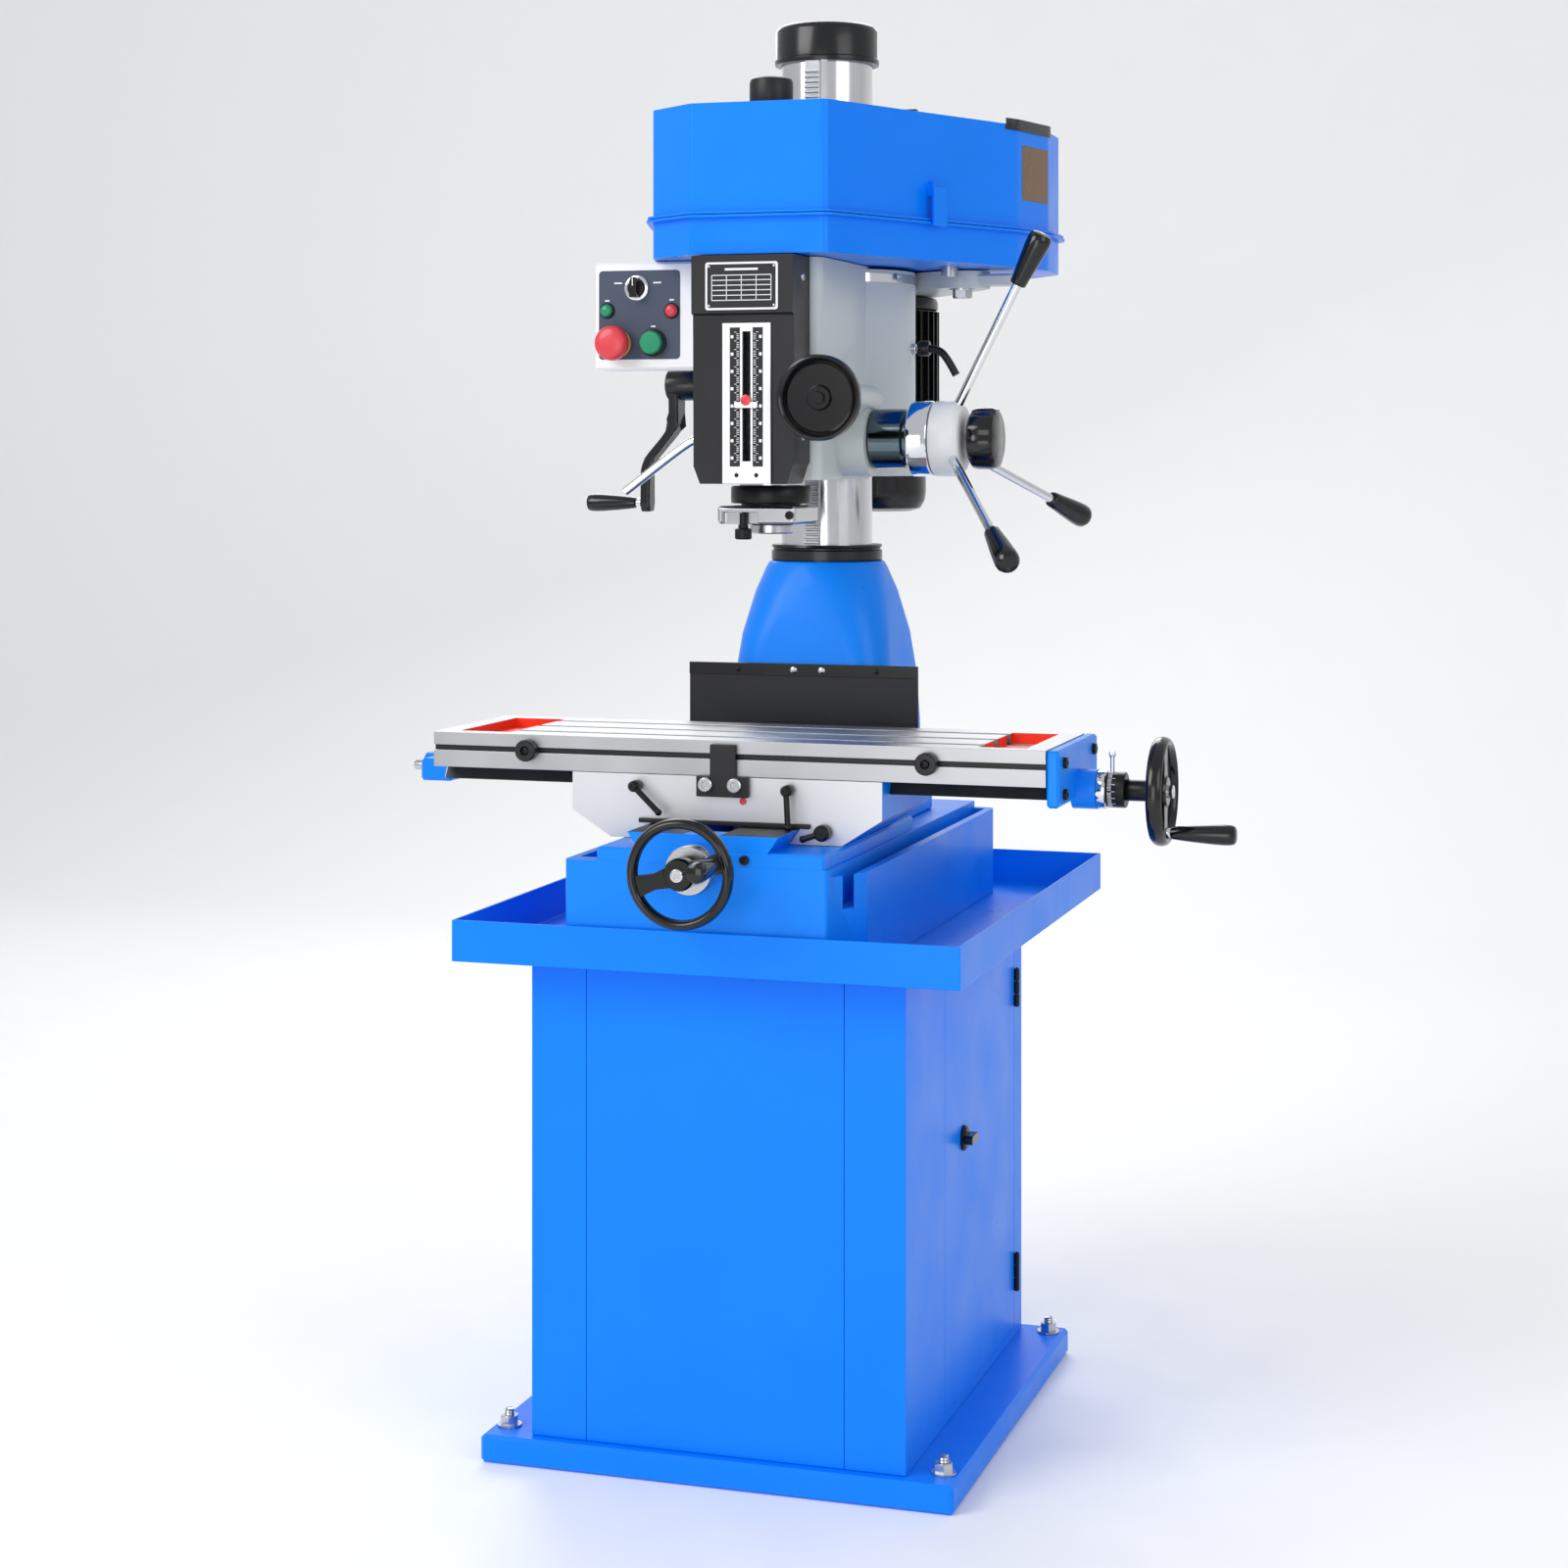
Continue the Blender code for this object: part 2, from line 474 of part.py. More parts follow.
def build_table():
    """Table with T-slots, its end brackets, stops, leadscrew and handwheel."""
    dovetail = [(-0.2205, 0.7725), (-0.0745, 0.7725), (-0.0843, 0.7900), (-0.0843, 0.795),
                (-0.2107, 0.795), (-0.2107, 0.7900)]
    top = TABLE_Z[1]
    slots = []
    for y in (TABLE_MID - SLOT_PITCH, TABLE_MID, TABLE_MID + SLOT_PITCH):
        tee = [(y - SLOT_T / 2, top - SLOT_DEPTH), (y + SLOT_T / 2, top - SLOT_DEPTH),
               (y + SLOT_T / 2, top - 0.010), (y + SLOT_NECK / 2, top - 0.010),
               (y + SLOT_NECK / 2, top + 0.010), (y - SLOT_NECK / 2, top + 0.010),
               (y - SLOT_NECK / 2, top - 0.010), (y - SLOT_T / 2, top - 0.010)]
        slots.append(prism(tee, -0.300, 0.318, "X"))
    pockets = [box(x, (-0.232, -0.062), (top - 0.012, 0.9))
               for x in ((-0.335, -0.270), (0.290, 0.345))]
    part("table", "steel", box(TABLE_X, TABLE_Y, TABLE_Z),
         join=[prism(dovetail, TABLE_X[0], TABLE_X[1], "X")],
         cut=[box((-0.5, 0.5), (TABLE_MID - 0.0125, TABLE_MID + 0.0125), (0.7, 0.7895)),
              box((-0.5, 0.5), (-0.300, TABLE_Y[0] + 0.005), (0.809, 0.815))]
         + slots + pockets)

    right = TABLE_X[1] + GAP
    screw_hole = cylinder(0.0095, (-0.5, TABLE_MID, SCREW_Z), 1.0, (1, 0, 0))
    part("table_bracket_right", "blue",
         box((right, 0.3855), TABLE_Y, (0.767, 0.830), 0.003),
         join=[cylinder(0.0225, (0.380, TABLE_MID, SCREW_Z), 0.028, (1, 0, 0))],
         cut=[screw_hole])
    left = TABLE_X[0] - GAP
    screw_hole = cylinder(0.0095, (-0.5, TABLE_MID, SCREW_Z), 0.2, (1, 0, 0))
    part("table_bracket_left", "blue",
         box((-0.3995, left), (-0.200, -0.090), (0.766, 0.7920), 0.003),
         join=[cylinder(0.0165, (-0.414, TABLE_MID, SCREW_Z), 0.020, (1, 0, 0))],
         cut=[screw_hole])
    for side, x in (("left", -0.2396), ("right", 0.2375)):
        part(f"table_stop_{side}", "black",
             turned([(0, 0.0075), (0.0042, 0.0075), (0.0042, 0.0), (0.0125, 0.0),
                     (0.0125, -0.012), (0, -0.012)][::-1],
                    (x, TABLE_Y[0] - 0.004, 0.812), (0, 1, 0), 16),
             cut=[box((x - 0.02, x + 0.02), (TABLE_Y[0] - GAP, -0.2), (0.8145, 0.84)),
                  box((x - 0.02, x + 0.02), (TABLE_Y[0] - GAP, -0.2), (0.78, 0.8095))])

    at = (TABLE_WHEEL_X, TABLE_MID, SCREW_Z)
    part("table_leadscrew", "steel",
         turned([(0, -0.911), (0.0060, -0.911), (0.0060, -0.895), (0.0078, -0.893),
                 (0.0078, -0.0710), (0.0225, -0.0710), (0.0225, -0.0600), (0.0200, -0.0600),
                 (0.0200, -0.0400), (0.0075, -0.0400), (0.0075, 0.0130), (0, 0.0130)],
                at, (1, 0, 0)), pivot=at)
    rim, joined, direction = handwheel(at, (1, 0, 0), (0, 0, -1), 0)
    part("table_handwheel", "black", rim, join=joined,
         cut=[cylinder(0.0080, (0.45, TABLE_MID, SCREW_Z), 0.1, (1, 0, 0), 16)], pivot=at)
    handle = Vector(at) + direction * 0.046
    part("table_grip", "black", grip(handle + Vector((0.0105, 0, 0)), (1, 0, 0),
                                     0.0725, 0.0115), pivot=handle)


# ---------------------------------------------------------------- head

def build_head():
    """Head casting, front cover, depth pointer, clamps, quill, spindle and electric box."""
    low, high = HEAD_Z
    housing = rounded([(-0.075, -0.122, 0.012), (0.075, -0.122, 0.012), (0.075, 0.090, 0.01),
                       (-0.075, 0.090, 0.01)])
    worm = [cylinder(0.019, (FINE_X, -0.110, FINE_Z), 0.115, (0, 1, 0)),
            box((0.060, FINE_X), (-0.105, 0.0), (FINE_Z - 0.017, FINE_Z + 0.017))]
    part("head_casting", "grey", prism(housing, low, high),
         join=[cylinder(HEAD_CLAMP_R, (0, COLUMN_Y, low + 0.003), high - low - 0.006,
                        sides=FINE_SIDES),
               cylinder(0.045, (0.030, FEED_Y, FEED_Z), 0.081, (1, 0, 0)),
               cylinder(0.022, (CRANK_X + 0.023, CRANK_Y, CRANK_Z), 0.08, (1, 0, 0))] + worm,
         cut=[cylinder(COLUMN_R + GAP, (0, COLUMN_Y, 1.0), 0.5, sides=FINE_SIDES),
              box((-RACK_X - 0.001, RACK_X + 0.001), (RACK_Y[0] - 0.001, 0.120), (1.0, 1.5)),
              cylinder(QUILL_R + GAP, (0, SPINDLE_Y, 1.0), 0.5, sides=32),
              cylinder(PINION_R + GAP, (-0.040, FEED_Y, FEED_Z), 0.2, (1, 0, 0)),
              cylinder(0.0115, (-0.25, CRANK_Y, CRANK_Z), 0.182, (1, 0, 0)),
              cylinder(0.0070, (FINE_X, -0.2, FINE_Z), 0.17, (0, 1, 0), 16),
              cylinder(0.0065, (0.2, CLAMP_Y, CLAMP_Z), 0.125, (-1, 0, 0), 16),
              cylinder(0.0065, (-0.2, -0.040, 1.173), 0.140, (1, 0, 0), 16)])

    face = [(-0.1227, 1.1198), (-0.182, 1.1198), (-0.184, 1.3150), (-0.190, 1.3170),
            (-0.190, 1.3842), (-0.1227, 1.3842)]
    slot_x = 0.0045
    part("head_front_cover", "black", prism(face, -0.0615, 0.0615, "X"),
         cut=[box((-0.057, 0.057), (-0.177, -0.1), (1.135, 1.380)),
              prism([(-0.07, 1.10), (-0.046, 1.10), (-0.07, 1.162)], -0.3, 0, "Y"),
              prism([(0.07, 1.10), (0.07, 1.162), (0.0588, 1.140), (0.046, 1.10)],
                    -0.3, 0, "Y"),
              box((slot_x - 0.004, slot_x + 0.004), (-0.3, -0.15), (1.142, 1.300))])
    part("depth_pointer", "red",
         box((slot_x - 0.014, slot_x + 0.014), (-0.1895, -0.1865), (1.2095, 1.2215), 0.001),
         join=[box((slot_x - 0.003, slot_x + 0.003), (-0.1870, -0.165), (1.2105, 1.2205))],
         pivot=(slot_x, -0.175, 1.2155))

    quill = [(0.0205, 1.0715), (0.036, 1.0715), (0.036, 1.0955), (0.048, 1.0960),
             (0.048, 1.1165), (QUILL_R, 1.1170), (QUILL_R, 1.360), (0.0205, 1.360)]
    axis = (0, SPINDLE_Y, 0)
    part("quill", "black", turned(quill, axis, sides=32), pivot=(0, SPINDLE_Y, 1.1165))
    part("spindle", "steel",
         turned([(0, 1.1300), (0.0095, 1.1300), (0.014, 1.060), (0.026, 1.060),
                 (0.026, 1.0710), (0.020, 1.0711), (0.020, 1.3600), (0.0110, 1.3620),
                 (0.0110, 1.5370), (0, 1.5370)], axis), pivot=(0, SPINDLE_Y, 1.06))
    part("depth_clamp", "steel",
         box((-0.050, 0.046), (-0.132, -0.036), (1.0720, 1.0935), 0.003),
         cut=[cylinder(0.0365, (0, SPINDLE_Y, 1.0), 0.2, sides=32),
              box((-0.044, 0.000), (-0.2, -0.121), (1.0, 1.0860)),
              box((-0.003, 0.003), (-0.08, 0.1), (1.0, 1.2))])

    at = (0.1065, CLAMP_Y, CLAMP_Z)
    part("column_clamp_lever", "black",
         cylinder(0.006, (0.076, CLAMP_Y, CLAMP_Z), 0.040, (1, 0, 0), 12),
         join=[cylinder(0.010, at, 0.015, (1, 0, 0), 16),
               swept([(0.118, CLAMP_Y, CLAMP_Z), (0.133, CLAMP_Y, CLAMP_Z - 0.003),
                      (0.146, CLAMP_Y, CLAMP_Z - 0.016),
                      (0.1562, CLAMP_Y, CLAMP_Z - 0.0345)], 0.0050, 10)], pivot=at)
    at = (-0.077, -0.040, 1.173)
    part("head_clamp_rod", "chrome",
         swept([(-0.062, -0.040, 1.173), (-0.106, -0.040, 1.173), (-0.118, -0.041, 1.168),
                (-0.1974, -0.047, 1.108)], 0.0055, 12),
         join=[cylinder(0.010, (-0.079, -0.040, 1.173), 0.014, (-1, 0, 0), 16)], pivot=at)

    part("electric_box", "white", box(BOX_X, BOX_Y, BOX_Z, 0.003),
         cut=[cylinder(0.0045, (x, -0.2, z), 0.135, (0, 1, 0), 12)
              for x, z in ((-0.166, 1.354), (-0.191, 1.2874), (-0.145, 1.288))])
    front = BOX_Y[0] - GAP
    stem = [(0, -0.015), (0.0040, -0.015), (0.0040, 0.0)]
    at = (-0.166, front, 1.354)
    part("selector_switch", "black",
         turned(stem + [(0.0145, 0.0), (0.0135, 0.006), (0, 0.006)], at, (0, -1, 0), 20),
         join=[box((-0.1700, -0.1620), (front - 0.016, front - 0.005), (1.3410, 1.3670),
                   0.0015)], pivot=at)
    at = (-0.191, front, 1.2874)
    part("estop_button", "red",
         turned(stem[:2] + [(0.0040, 0.0056), (0.0100, 0.0085), (0.0110, 0.013),
                        (0.0205, 0.014), (0.0210, 0.022),
                        (0.0175, 0.028), (0, 0.029)], at, (0, -1, 0)), pivot=at)
    at = (-0.145, front, 1.288)
    part("start_button", "green",
         turned(stem[:2] + [(0.0040, 0.0046), (0.0140, 0.0047), (0.0140, 0.010),
                        (0.0120, 0.012),
                        (0, 0.0125)], at, (0, -1, 0), 20), pivot=at)


def build_feed():
    """Quill feed hub with three levers and its end knob, fine feed wheel, head crank."""
    at = (0.1625, FEED_Y, FEED_Z)
    low = (0.0, FEED_Y, FEED_Z)
    hub = part("feed_hub", "chrome",
               turned([(0, -0.030), (PINION_R, -0.030), (PINION_R, 0.1115), (0.0355, 0.1120),
                       (0.0355, 0.1530), (0.0320, 0.1550), (0.0320, 0.1600), (0.0448, 0.1610),
                       (0.0448, 0.1860), (0.0400, 0.1875), (0.0447, 0.1890),
                       (0.0447, 0.2160), (0.0400, 0.2234), (0, 0.2234)], low, (1, 0, 0), 32),
               pivot=at)
    tilt = math.radians(28)
    for number, turn in enumerate((6, 126, 246), 1):
        angle = math.radians(turn)
        radial = Vector((0, -math.sin(angle), math.cos(angle)))
        direction = radial * math.cos(tilt) + Vector((math.sin(tilt), 0, 0))
        root = Vector((0.2110, FEED_Y, FEED_Z)) + radial * 0.030
        rod = cylinder(0.0055, root, 0.186, direction, 12)
        ball = grip(root + direction * 0.172, direction, 0.066, 0.0145)
        part(f"feed_lever_{number}", "black", rod, join=[ball], pivot=at)
        add_tool(hub, cylinder(0.0062, root - direction * 0.001, 0.060, direction, 12),
                 "DIFFERENCE")
    at = (0.2310, FEED_Y, FEED_Z)
    part("feed_knob", "black",
         turned([(0, -0.0045), (0.010, -0.0045), (0.010, 0.0), (0.032, 0.001), (0.037, 0.008),
                 (0.037, 0.028), (0.033, 0.0345), (0, 0.0345)], at, (1, 0, 0)), pivot=at)

    at = (FINE_X, -0.200, FINE_Z)
    part("fine_feed_wheel", "black",
         turned([(0, -0.008), (0.012, -0.008), (0.014, 0.002), (0.0418, 0.002),
                 (0.0448, -0.008), (0.0495, -0.006), (0.0495, 0.006), (0.0448, 0.010),
                 (0.016, 0.012), (0.014, 0.024), (0.006, 0.0245), (0.006, 0.160),
                 (0, 0.160)], at, (0, 1, 0), 32), pivot=at)

    at = (CRANK_X, CRANK_Y, CRANK_Z)
    arm_x = CRANK_X - 0.052
    part("head_crank", "black",
         turned([(0, -0.111), (0.011, -0.111), (0.011, -0.0215), (0.020, -0.0210),
                 (0.020, 0.024), (0, 0.024)], at, (-1, 0, 0), 20),
         join=[swept([(CRANK_X - 0.012, CRANK_Y, CRANK_Z),
                      (CRANK_X - 0.013, CRANK_Y, CRANK_Z - 0.050),
                      (arm_x, CRANK_Y, CRANK_Z - 0.105),
                      (arm_x - 0.006, CRANK_Y, CRANK_Z - CRANK_REACH)], 0.0105, 12)],
         pivot=at)
    handle = (arm_x - 0.018, CRANK_Y, CRANK_Z - CRANK_REACH + 0.0115)
    part("head_crank_grip", "black", grip(handle, (-1, 0, 0), 0.066, 0.0115), pivot=handle)


def belt_outline(first, second, first_r, second_r, steps=10):
    """A loop drawn round two circles."""
    line = Vector(second) - Vector(first)
    heading = math.degrees(math.atan2(line.y, line.x))
    spread = math.degrees(math.acos((first_r - second_r) / line.length))
    return (arc(first, first_r, heading + spread, heading + 360 - spread, steps)
            + arc(second, second_r, heading - spread, heading + spread, steps))


def stepped_pulley(radii, bottom, step, hub_r):
    """Profile of a cone pulley with one V-groove on each step."""
    profile = [(hub_r, bottom)]
    for i, radius in enumerate(radii):
        base = bottom + i * step
        middle = base + step / 2
        profile += [(radius, base), (radius, middle - 0.0065), (radius - 0.009, middle - 0.004),
                    (radius - 0.009, middle + 0.004), (radius, middle + 0.0065),
                    (radius, base + step)]
    return profile + [(hub_r, bottom + step * len(radii))]


def latch_axes():
    """Axes of the latch on the cover's right wall: along the wall, outwards, and up."""
    start, end = (Vector(corner[:2]) for corner in PAN_CORNERS[2:4])
    along = (start - end).normalized()
    at = start + (end - start) * LATCH_SHARE
    return Matrix(((along.x, -along.y, 0, at.x), (along.y, along.x, 0, at.y),
                   (0, 0, 1, 0), (0, 0, 0, 1)))


def build_drive():
    """Belt pan and cover, pulleys, belts, motor and its plate."""
    outline = rounded(PAN_CORNERS)
    low, high = PAN_Z
    column_hole = [cylinder(COLUMN_HOLE, (0, COLUMN_Y, 1.0), 1.0, sides=FINE_SIDES)]
    part("belt_pan", "blue", prism(outline, low, high - 0.0005),
         join=[prism(inset(outline, -0.008), high - 0.0035, high - 0.0005)],
         cut=[prism(inset(outline, SHEET), low + SHEET, high + 0.1),
              cylinder(0.030, (0, SPINDLE_Y, 1.0), 1.0),
              cylinder(0.014, (*IDLER, 1.0), 1.0, sides=16),
              cylinder(0.030, (*MOTOR, 1.0), 1.0)] + column_hole)
    cover = part("belt_cover", "blue", prism(outline, high + 0.0005, COVER_TOP),
                 cut=[prism(inset(outline, SHEET), high - 0.1, COVER_TOP - SHEET),
                      cylinder(0.0140, (0, SPINDLE_Y, 1.5), 0.2)] + column_hole,
                 pivot=(0, 0, high))
    add_tool(cover, prism(inset(outline, -0.0065), high + 0.0005, high + 0.0035), "UNION")
    add_tool(cover, prism(inset(outline, SHEET), high - 0.1, high + 0.02), "DIFFERENCE")
    axes = latch_axes()
    bracket = box((-0.007, 0.007), (-0.002, 0.0085), (1.462, 1.480), 0.001)
    latch = box((-0.012, 0.012), (0.0095, 0.0145), (1.426, LATCH_PIVOT_Z + 0.0018), 0.0008)
    for mesh in (bracket, latch):
        mesh.transform(axes)
    add_tool(cover, bracket, "UNION")
    part("cover_latch", "blue", latch, pivot=axes @ Vector((0, 0.012, LATCH_PIVOT_Z)))
    at = (0, SPINDLE_Y, COVER_TOP)
    part("spindle_cap", "black",
         turned([(0, -0.010), (0.0130, -0.010), (0.0130, 0.0005), (0.026, 0.0005),
                 (0.026, 0.035), (0.023, 0.039), (0, 0.039)], at), pivot=at)

    step, floor = 0.027, low + 0.012
    narrowing, widening = (0.050, 0.044, 0.038, 0.032), (0.032, 0.038, 0.044, 0.050)
    part("spindle_pulley", "steel",
         turned(stepped_pulley(narrowing, floor, step, 0.0115), (0, SPINDLE_Y, 0)),
         pivot=(0, SPINDLE_Y, floor))
    part("idler_pulley", "steel",
         turned([(0, low - 0.012), (0.010, low - 0.012), (0.010, floor)]
                + stepped_pulley(widening, floor, step, 0.010)[1:-1]
                + [(0, floor + 4 * step)], (*IDLER, 0)),
         pivot=(*IDLER, floor))
    part("motor_pulley", "steel",
         turned([(0, 1.310), (0.0120, 1.310), (0.0120, floor)]
                + stepped_pulley(narrowing, floor, step, 0.012)[1:-1]
                + [(0, floor + 4 * step)], (*MOTOR, 0)),
         pivot=(*MOTOR, floor))
    for name, ends, radii, level in (
            ("front_belt", ((0, SPINDLE_Y), IDLER), (narrowing[1], widening[1]), 1),
            ("rear_belt", (IDLER, MOTOR), (widening[2], narrowing[2]), 2)):
        middle = floor + step * (level + 0.5)
        loops = [belt_outline(*ends, radii[0] - depth, radii[1] - depth)
                 for depth in (-0.0005, 0.0080)]
        part(name, "rubber", prism(loops[0], middle - 0.0030, middle + 0.0030),
             cut=[prism(loops[1], middle - 0.1, middle + 0.1)])

    part("motor", "black",
         turned([(0, 1.078), (0.046, 1.078), (0.060, 1.088), (0.064, 1.104), (0.064, 1.165),
                 (0.082, 1.170), (0.082, 1.3500), (0.076, 1.3610), (0.0125, 1.3610),
                 (0.0125, 1.305), (0, 1.305)], (*MOTOR, 0), sides=32),
         join=[box((MOTOR[0] - 0.105, MOTOR[0] - 0.072), (MOTOR[1] - 0.035, MOTOR[1] + 0.035),
                   (1.235, 1.305), 0.004)],
         pivot=(*MOTOR, 1.305))
    plate = belt_outline(MOTOR, (0.165, 0.200), 0.078, 0.034)
    part("motor_plate", "grey", prism(plate, 1.3625, 1.3840),
         join=[box((0.160, 0.236), (0.176, 0.224), (1.3660, 1.3800), 0.003)],
         cut=[cylinder(HEAD_CLAMP_R + 0.002, (0, COLUMN_Y, 1.0), 0.5, sides=FINE_SIDES),
              cylinder(0.030, (*MOTOR, 1.3), 0.2)])


def main():
    """Builds the machine."""
    clear_scene()
    build_stand()
    build_base()
    build_saddle()
    build_table()
    build_head()
    build_feed()
    build_drive()


main()
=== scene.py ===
"""Finished look of a round-column milling and drilling machine on a cabinet stand.

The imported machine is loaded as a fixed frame. Each class here dresses one sub-assembly:
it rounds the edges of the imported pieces, adds the small parts, and gives every surface
its finish. Lengths are in metres unless a name ends in _mm.
"""

from __future__ import annotations

import json
import logging
import math
from collections.abc import Iterable, Sequence
from dataclasses import dataclass, field

import bmesh
import bpy
from mathutils import Matrix, Vector

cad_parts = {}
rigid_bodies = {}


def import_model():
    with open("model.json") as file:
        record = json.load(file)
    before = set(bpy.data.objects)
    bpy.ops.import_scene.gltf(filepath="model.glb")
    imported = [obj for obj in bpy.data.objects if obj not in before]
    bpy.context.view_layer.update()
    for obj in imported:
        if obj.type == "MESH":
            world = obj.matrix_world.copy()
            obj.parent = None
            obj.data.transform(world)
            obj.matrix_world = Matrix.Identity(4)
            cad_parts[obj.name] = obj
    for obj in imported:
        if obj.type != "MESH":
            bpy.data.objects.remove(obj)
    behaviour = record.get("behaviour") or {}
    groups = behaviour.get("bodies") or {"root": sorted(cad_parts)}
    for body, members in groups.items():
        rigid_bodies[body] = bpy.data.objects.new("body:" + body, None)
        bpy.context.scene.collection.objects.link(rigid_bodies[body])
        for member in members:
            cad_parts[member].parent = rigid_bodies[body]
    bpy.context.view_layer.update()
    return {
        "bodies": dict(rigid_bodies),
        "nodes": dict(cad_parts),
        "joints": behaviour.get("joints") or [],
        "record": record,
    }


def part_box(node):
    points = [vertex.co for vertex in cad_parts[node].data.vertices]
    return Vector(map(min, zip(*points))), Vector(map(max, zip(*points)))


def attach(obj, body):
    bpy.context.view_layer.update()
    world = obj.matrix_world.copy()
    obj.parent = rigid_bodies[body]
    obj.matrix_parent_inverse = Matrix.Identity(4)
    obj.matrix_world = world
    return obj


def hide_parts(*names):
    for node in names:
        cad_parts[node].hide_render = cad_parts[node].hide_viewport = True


LOG = logging.getLogger("milling_machine")
MM = 0.001
X_AXIS, Y_AXIS, Z_AXIS = Vector((1, 0, 0)), Vector((0, 1, 0)), Vector((0, 0, 1))
Point = Sequence[float]
Profile = Sequence[tuple[float, float]]


# ------------------------------------------------------------------ finishes

def srgb(code: str) -> tuple[float, float, float, float]:
    """Turns an sRGB hex colour into a linear one.

    Args:
        code: Six hex digits, with or without a leading hash.

    Returns:
        Red, green, blue and alpha, linear.
    """
    digits = code.lstrip("#")
    parts = [int(digits[i:i + 2], 16) / 255 for i in (0, 2, 4)]
    linear = [c / 12.92 if c <= 0.04045 else ((c + 0.055) / 1.055) ** 2.4 for c in parts]
    return (*linear, 1.0)


def add_node(tree: bpy.types.NodeTree, kind: str, settings: dict | None = None,
             values: dict | None = None, links: dict | None = None) -> bpy.types.Node:
    """Adds a node with its settings, socket values and incoming links.

    Args:
        tree: The node tree.
        kind: The node's type name.
        settings: Attributes to set on the node.
        values: Input socket name or number to its value.
        links: Input socket name or number to the output socket that feeds it.

    Returns:
        The new node.
    """
    node = tree.nodes.new(kind)
    for name, value in (settings or {}).items():
        setattr(node, name, value)
    for name, value in (values or {}).items():
        node.inputs[name].default_value = value
    for name, source in (links or {}).items():
        tree.links.new(source, node.inputs[name])
    return node


@dataclass(frozen=True)
class Finish:
    """A real finish: colour, gloss, and the relief and unevenness that the eye sees."""

    name: str
    colour: str
    slot: str
    roughness: float = 0.4
    metallic: float = 0.0
    coat: float = 0.0
    shine: float = 0.4
    grain_mm: float = 2.0
    relief_mm: float = 0.02
    mottle: float = 0.06
    stretch: tuple[float, float, float] = (1.0, 1.0, 1.0)
    worn: str = ""
    worn_share: float = 0.0

    def material(self) -> bpy.types.Material:
        """Builds the material, or returns it if it is there already.

        Returns:
            The material.
        """
        made = bpy.data.materials.get(self.name)
        if made:
            return made
        made = bpy.data.materials.new(self.name)
        made.use_nodes = True
        tree = made.node_tree
        tree.nodes.clear()
        place = add_node(tree, "ShaderNodeTexCoord").outputs["Object"]
        scaled = add_node(tree, "ShaderNodeMapping", values={"Scale": self.stretch},
                          links={"Vector": place}).outputs[0]
        grain = add_node(tree, "ShaderNodeTexNoise",
                         values={"Scale": 1 / (self.grain_mm * MM), "Detail": 3.0},
                         links={"Vector": scaled}).outputs[0]
        clouds = add_node(tree, "ShaderNodeTexNoise", values={"Scale": 9.0, "Detail": 4.0},
                          links={"Vector": place}).outputs[0]
        base = srgb(self.colour)
        darker = tuple(c * (1 - 2 * self.mottle) for c in base[:3]) + (1.0,)
        lighter = tuple(min(1.0, c * (1 + self.mottle)) for c in base[:3]) + (1.0,)
        tone = add_node(tree, "ShaderNodeMix", {"data_type": "RGBA"},
                        {6: darker, 7: lighter}, {0: clouds}).outputs[2]
        rough = add_node(tree, "ShaderNodeMapRange",
                         values={1: 0.3, 2: 0.7, 3: max(0.03, self.roughness * 0.8),
                                 4: min(1.0, self.roughness * 1.25)},
                         links={0: clouds}).outputs[0]
        if self.worn:
            tone = self._worn_tone(tree, place, tone)
        bump = add_node(tree, "ShaderNodeBump",
                        values={"Strength": 0.6, "Distance": self.relief_mm * MM},
                        links={"Height": grain}).outputs[0]
        shader = add_node(tree, "ShaderNodeBsdfPrincipled",
                          values={"Metallic": self.metallic, "Coat Weight": self.coat,
                                  "Coat Roughness": 0.08,
                                  "Specular IOR Level":
                                      0.5 if self.metallic > 0.5 else self.shine},
                          links={"Base Color": tone, "Roughness": rough, "Normal": bump})
        add_node(tree, "ShaderNodeOutputMaterial", links={0: shader.outputs[0]})
        made.diffuse_color = base
        return made

    def _worn_tone(self, tree: bpy.types.NodeTree, place: bpy.types.NodeSocket,
                   tone: bpy.types.NodeSocket) -> bpy.types.NodeSocket:
        """Adds small rubbed or soiled patches to the colour.

        Args:
            tree: The material's tree.
            place: Coordinates of the surface.
            tone: The colour so far.

        Returns:
            The colour with its patches.
        """
        patches = add_node(tree, "ShaderNodeTexNoise",
                           values={"Scale": 26.0, "Detail": 6.0, "Roughness": 0.65},
                           links={"Vector": place}).outputs[0]
        edge = 0.5 + 0.22 * (1 - self.worn_share)
        mask = add_node(tree, "ShaderNodeMapRange",
                        values={1: edge, 2: edge + 0.04, 3: 0.0, 4: 0.8},
                        links={0: patches}).outputs[0]
        return add_node(tree, "ShaderNodeMix", {"data_type": "RGBA"},
                        {7: srgb(self.worn)}, {0: mask, 6: tone}).outputs[2]


# Two-pack enamel on folded sheet: even, glossy, faint orange peel about 2 mm across
SHEET_BLUE = Finish("blue enamel on sheet steel", "#007CF4", "stand_paint", roughness=0.34,
                    coat=0.06, shine=0.16, grain_mm=2.2, relief_mm=0.015, mottle=0.035)
# Brushed filler and enamel on a sand casting: wavy gloss, with rubbed spots and grime
CAST_BLUE = Finish("blue enamel on cast iron", "#0080F2", "casting_paint",
                   0.38, coat=0.06, shine=0.2, grain_mm=6.0, relief_mm=0.12, mottle=0.06,
                   worn="#1B3F66", worn_share=0.1)
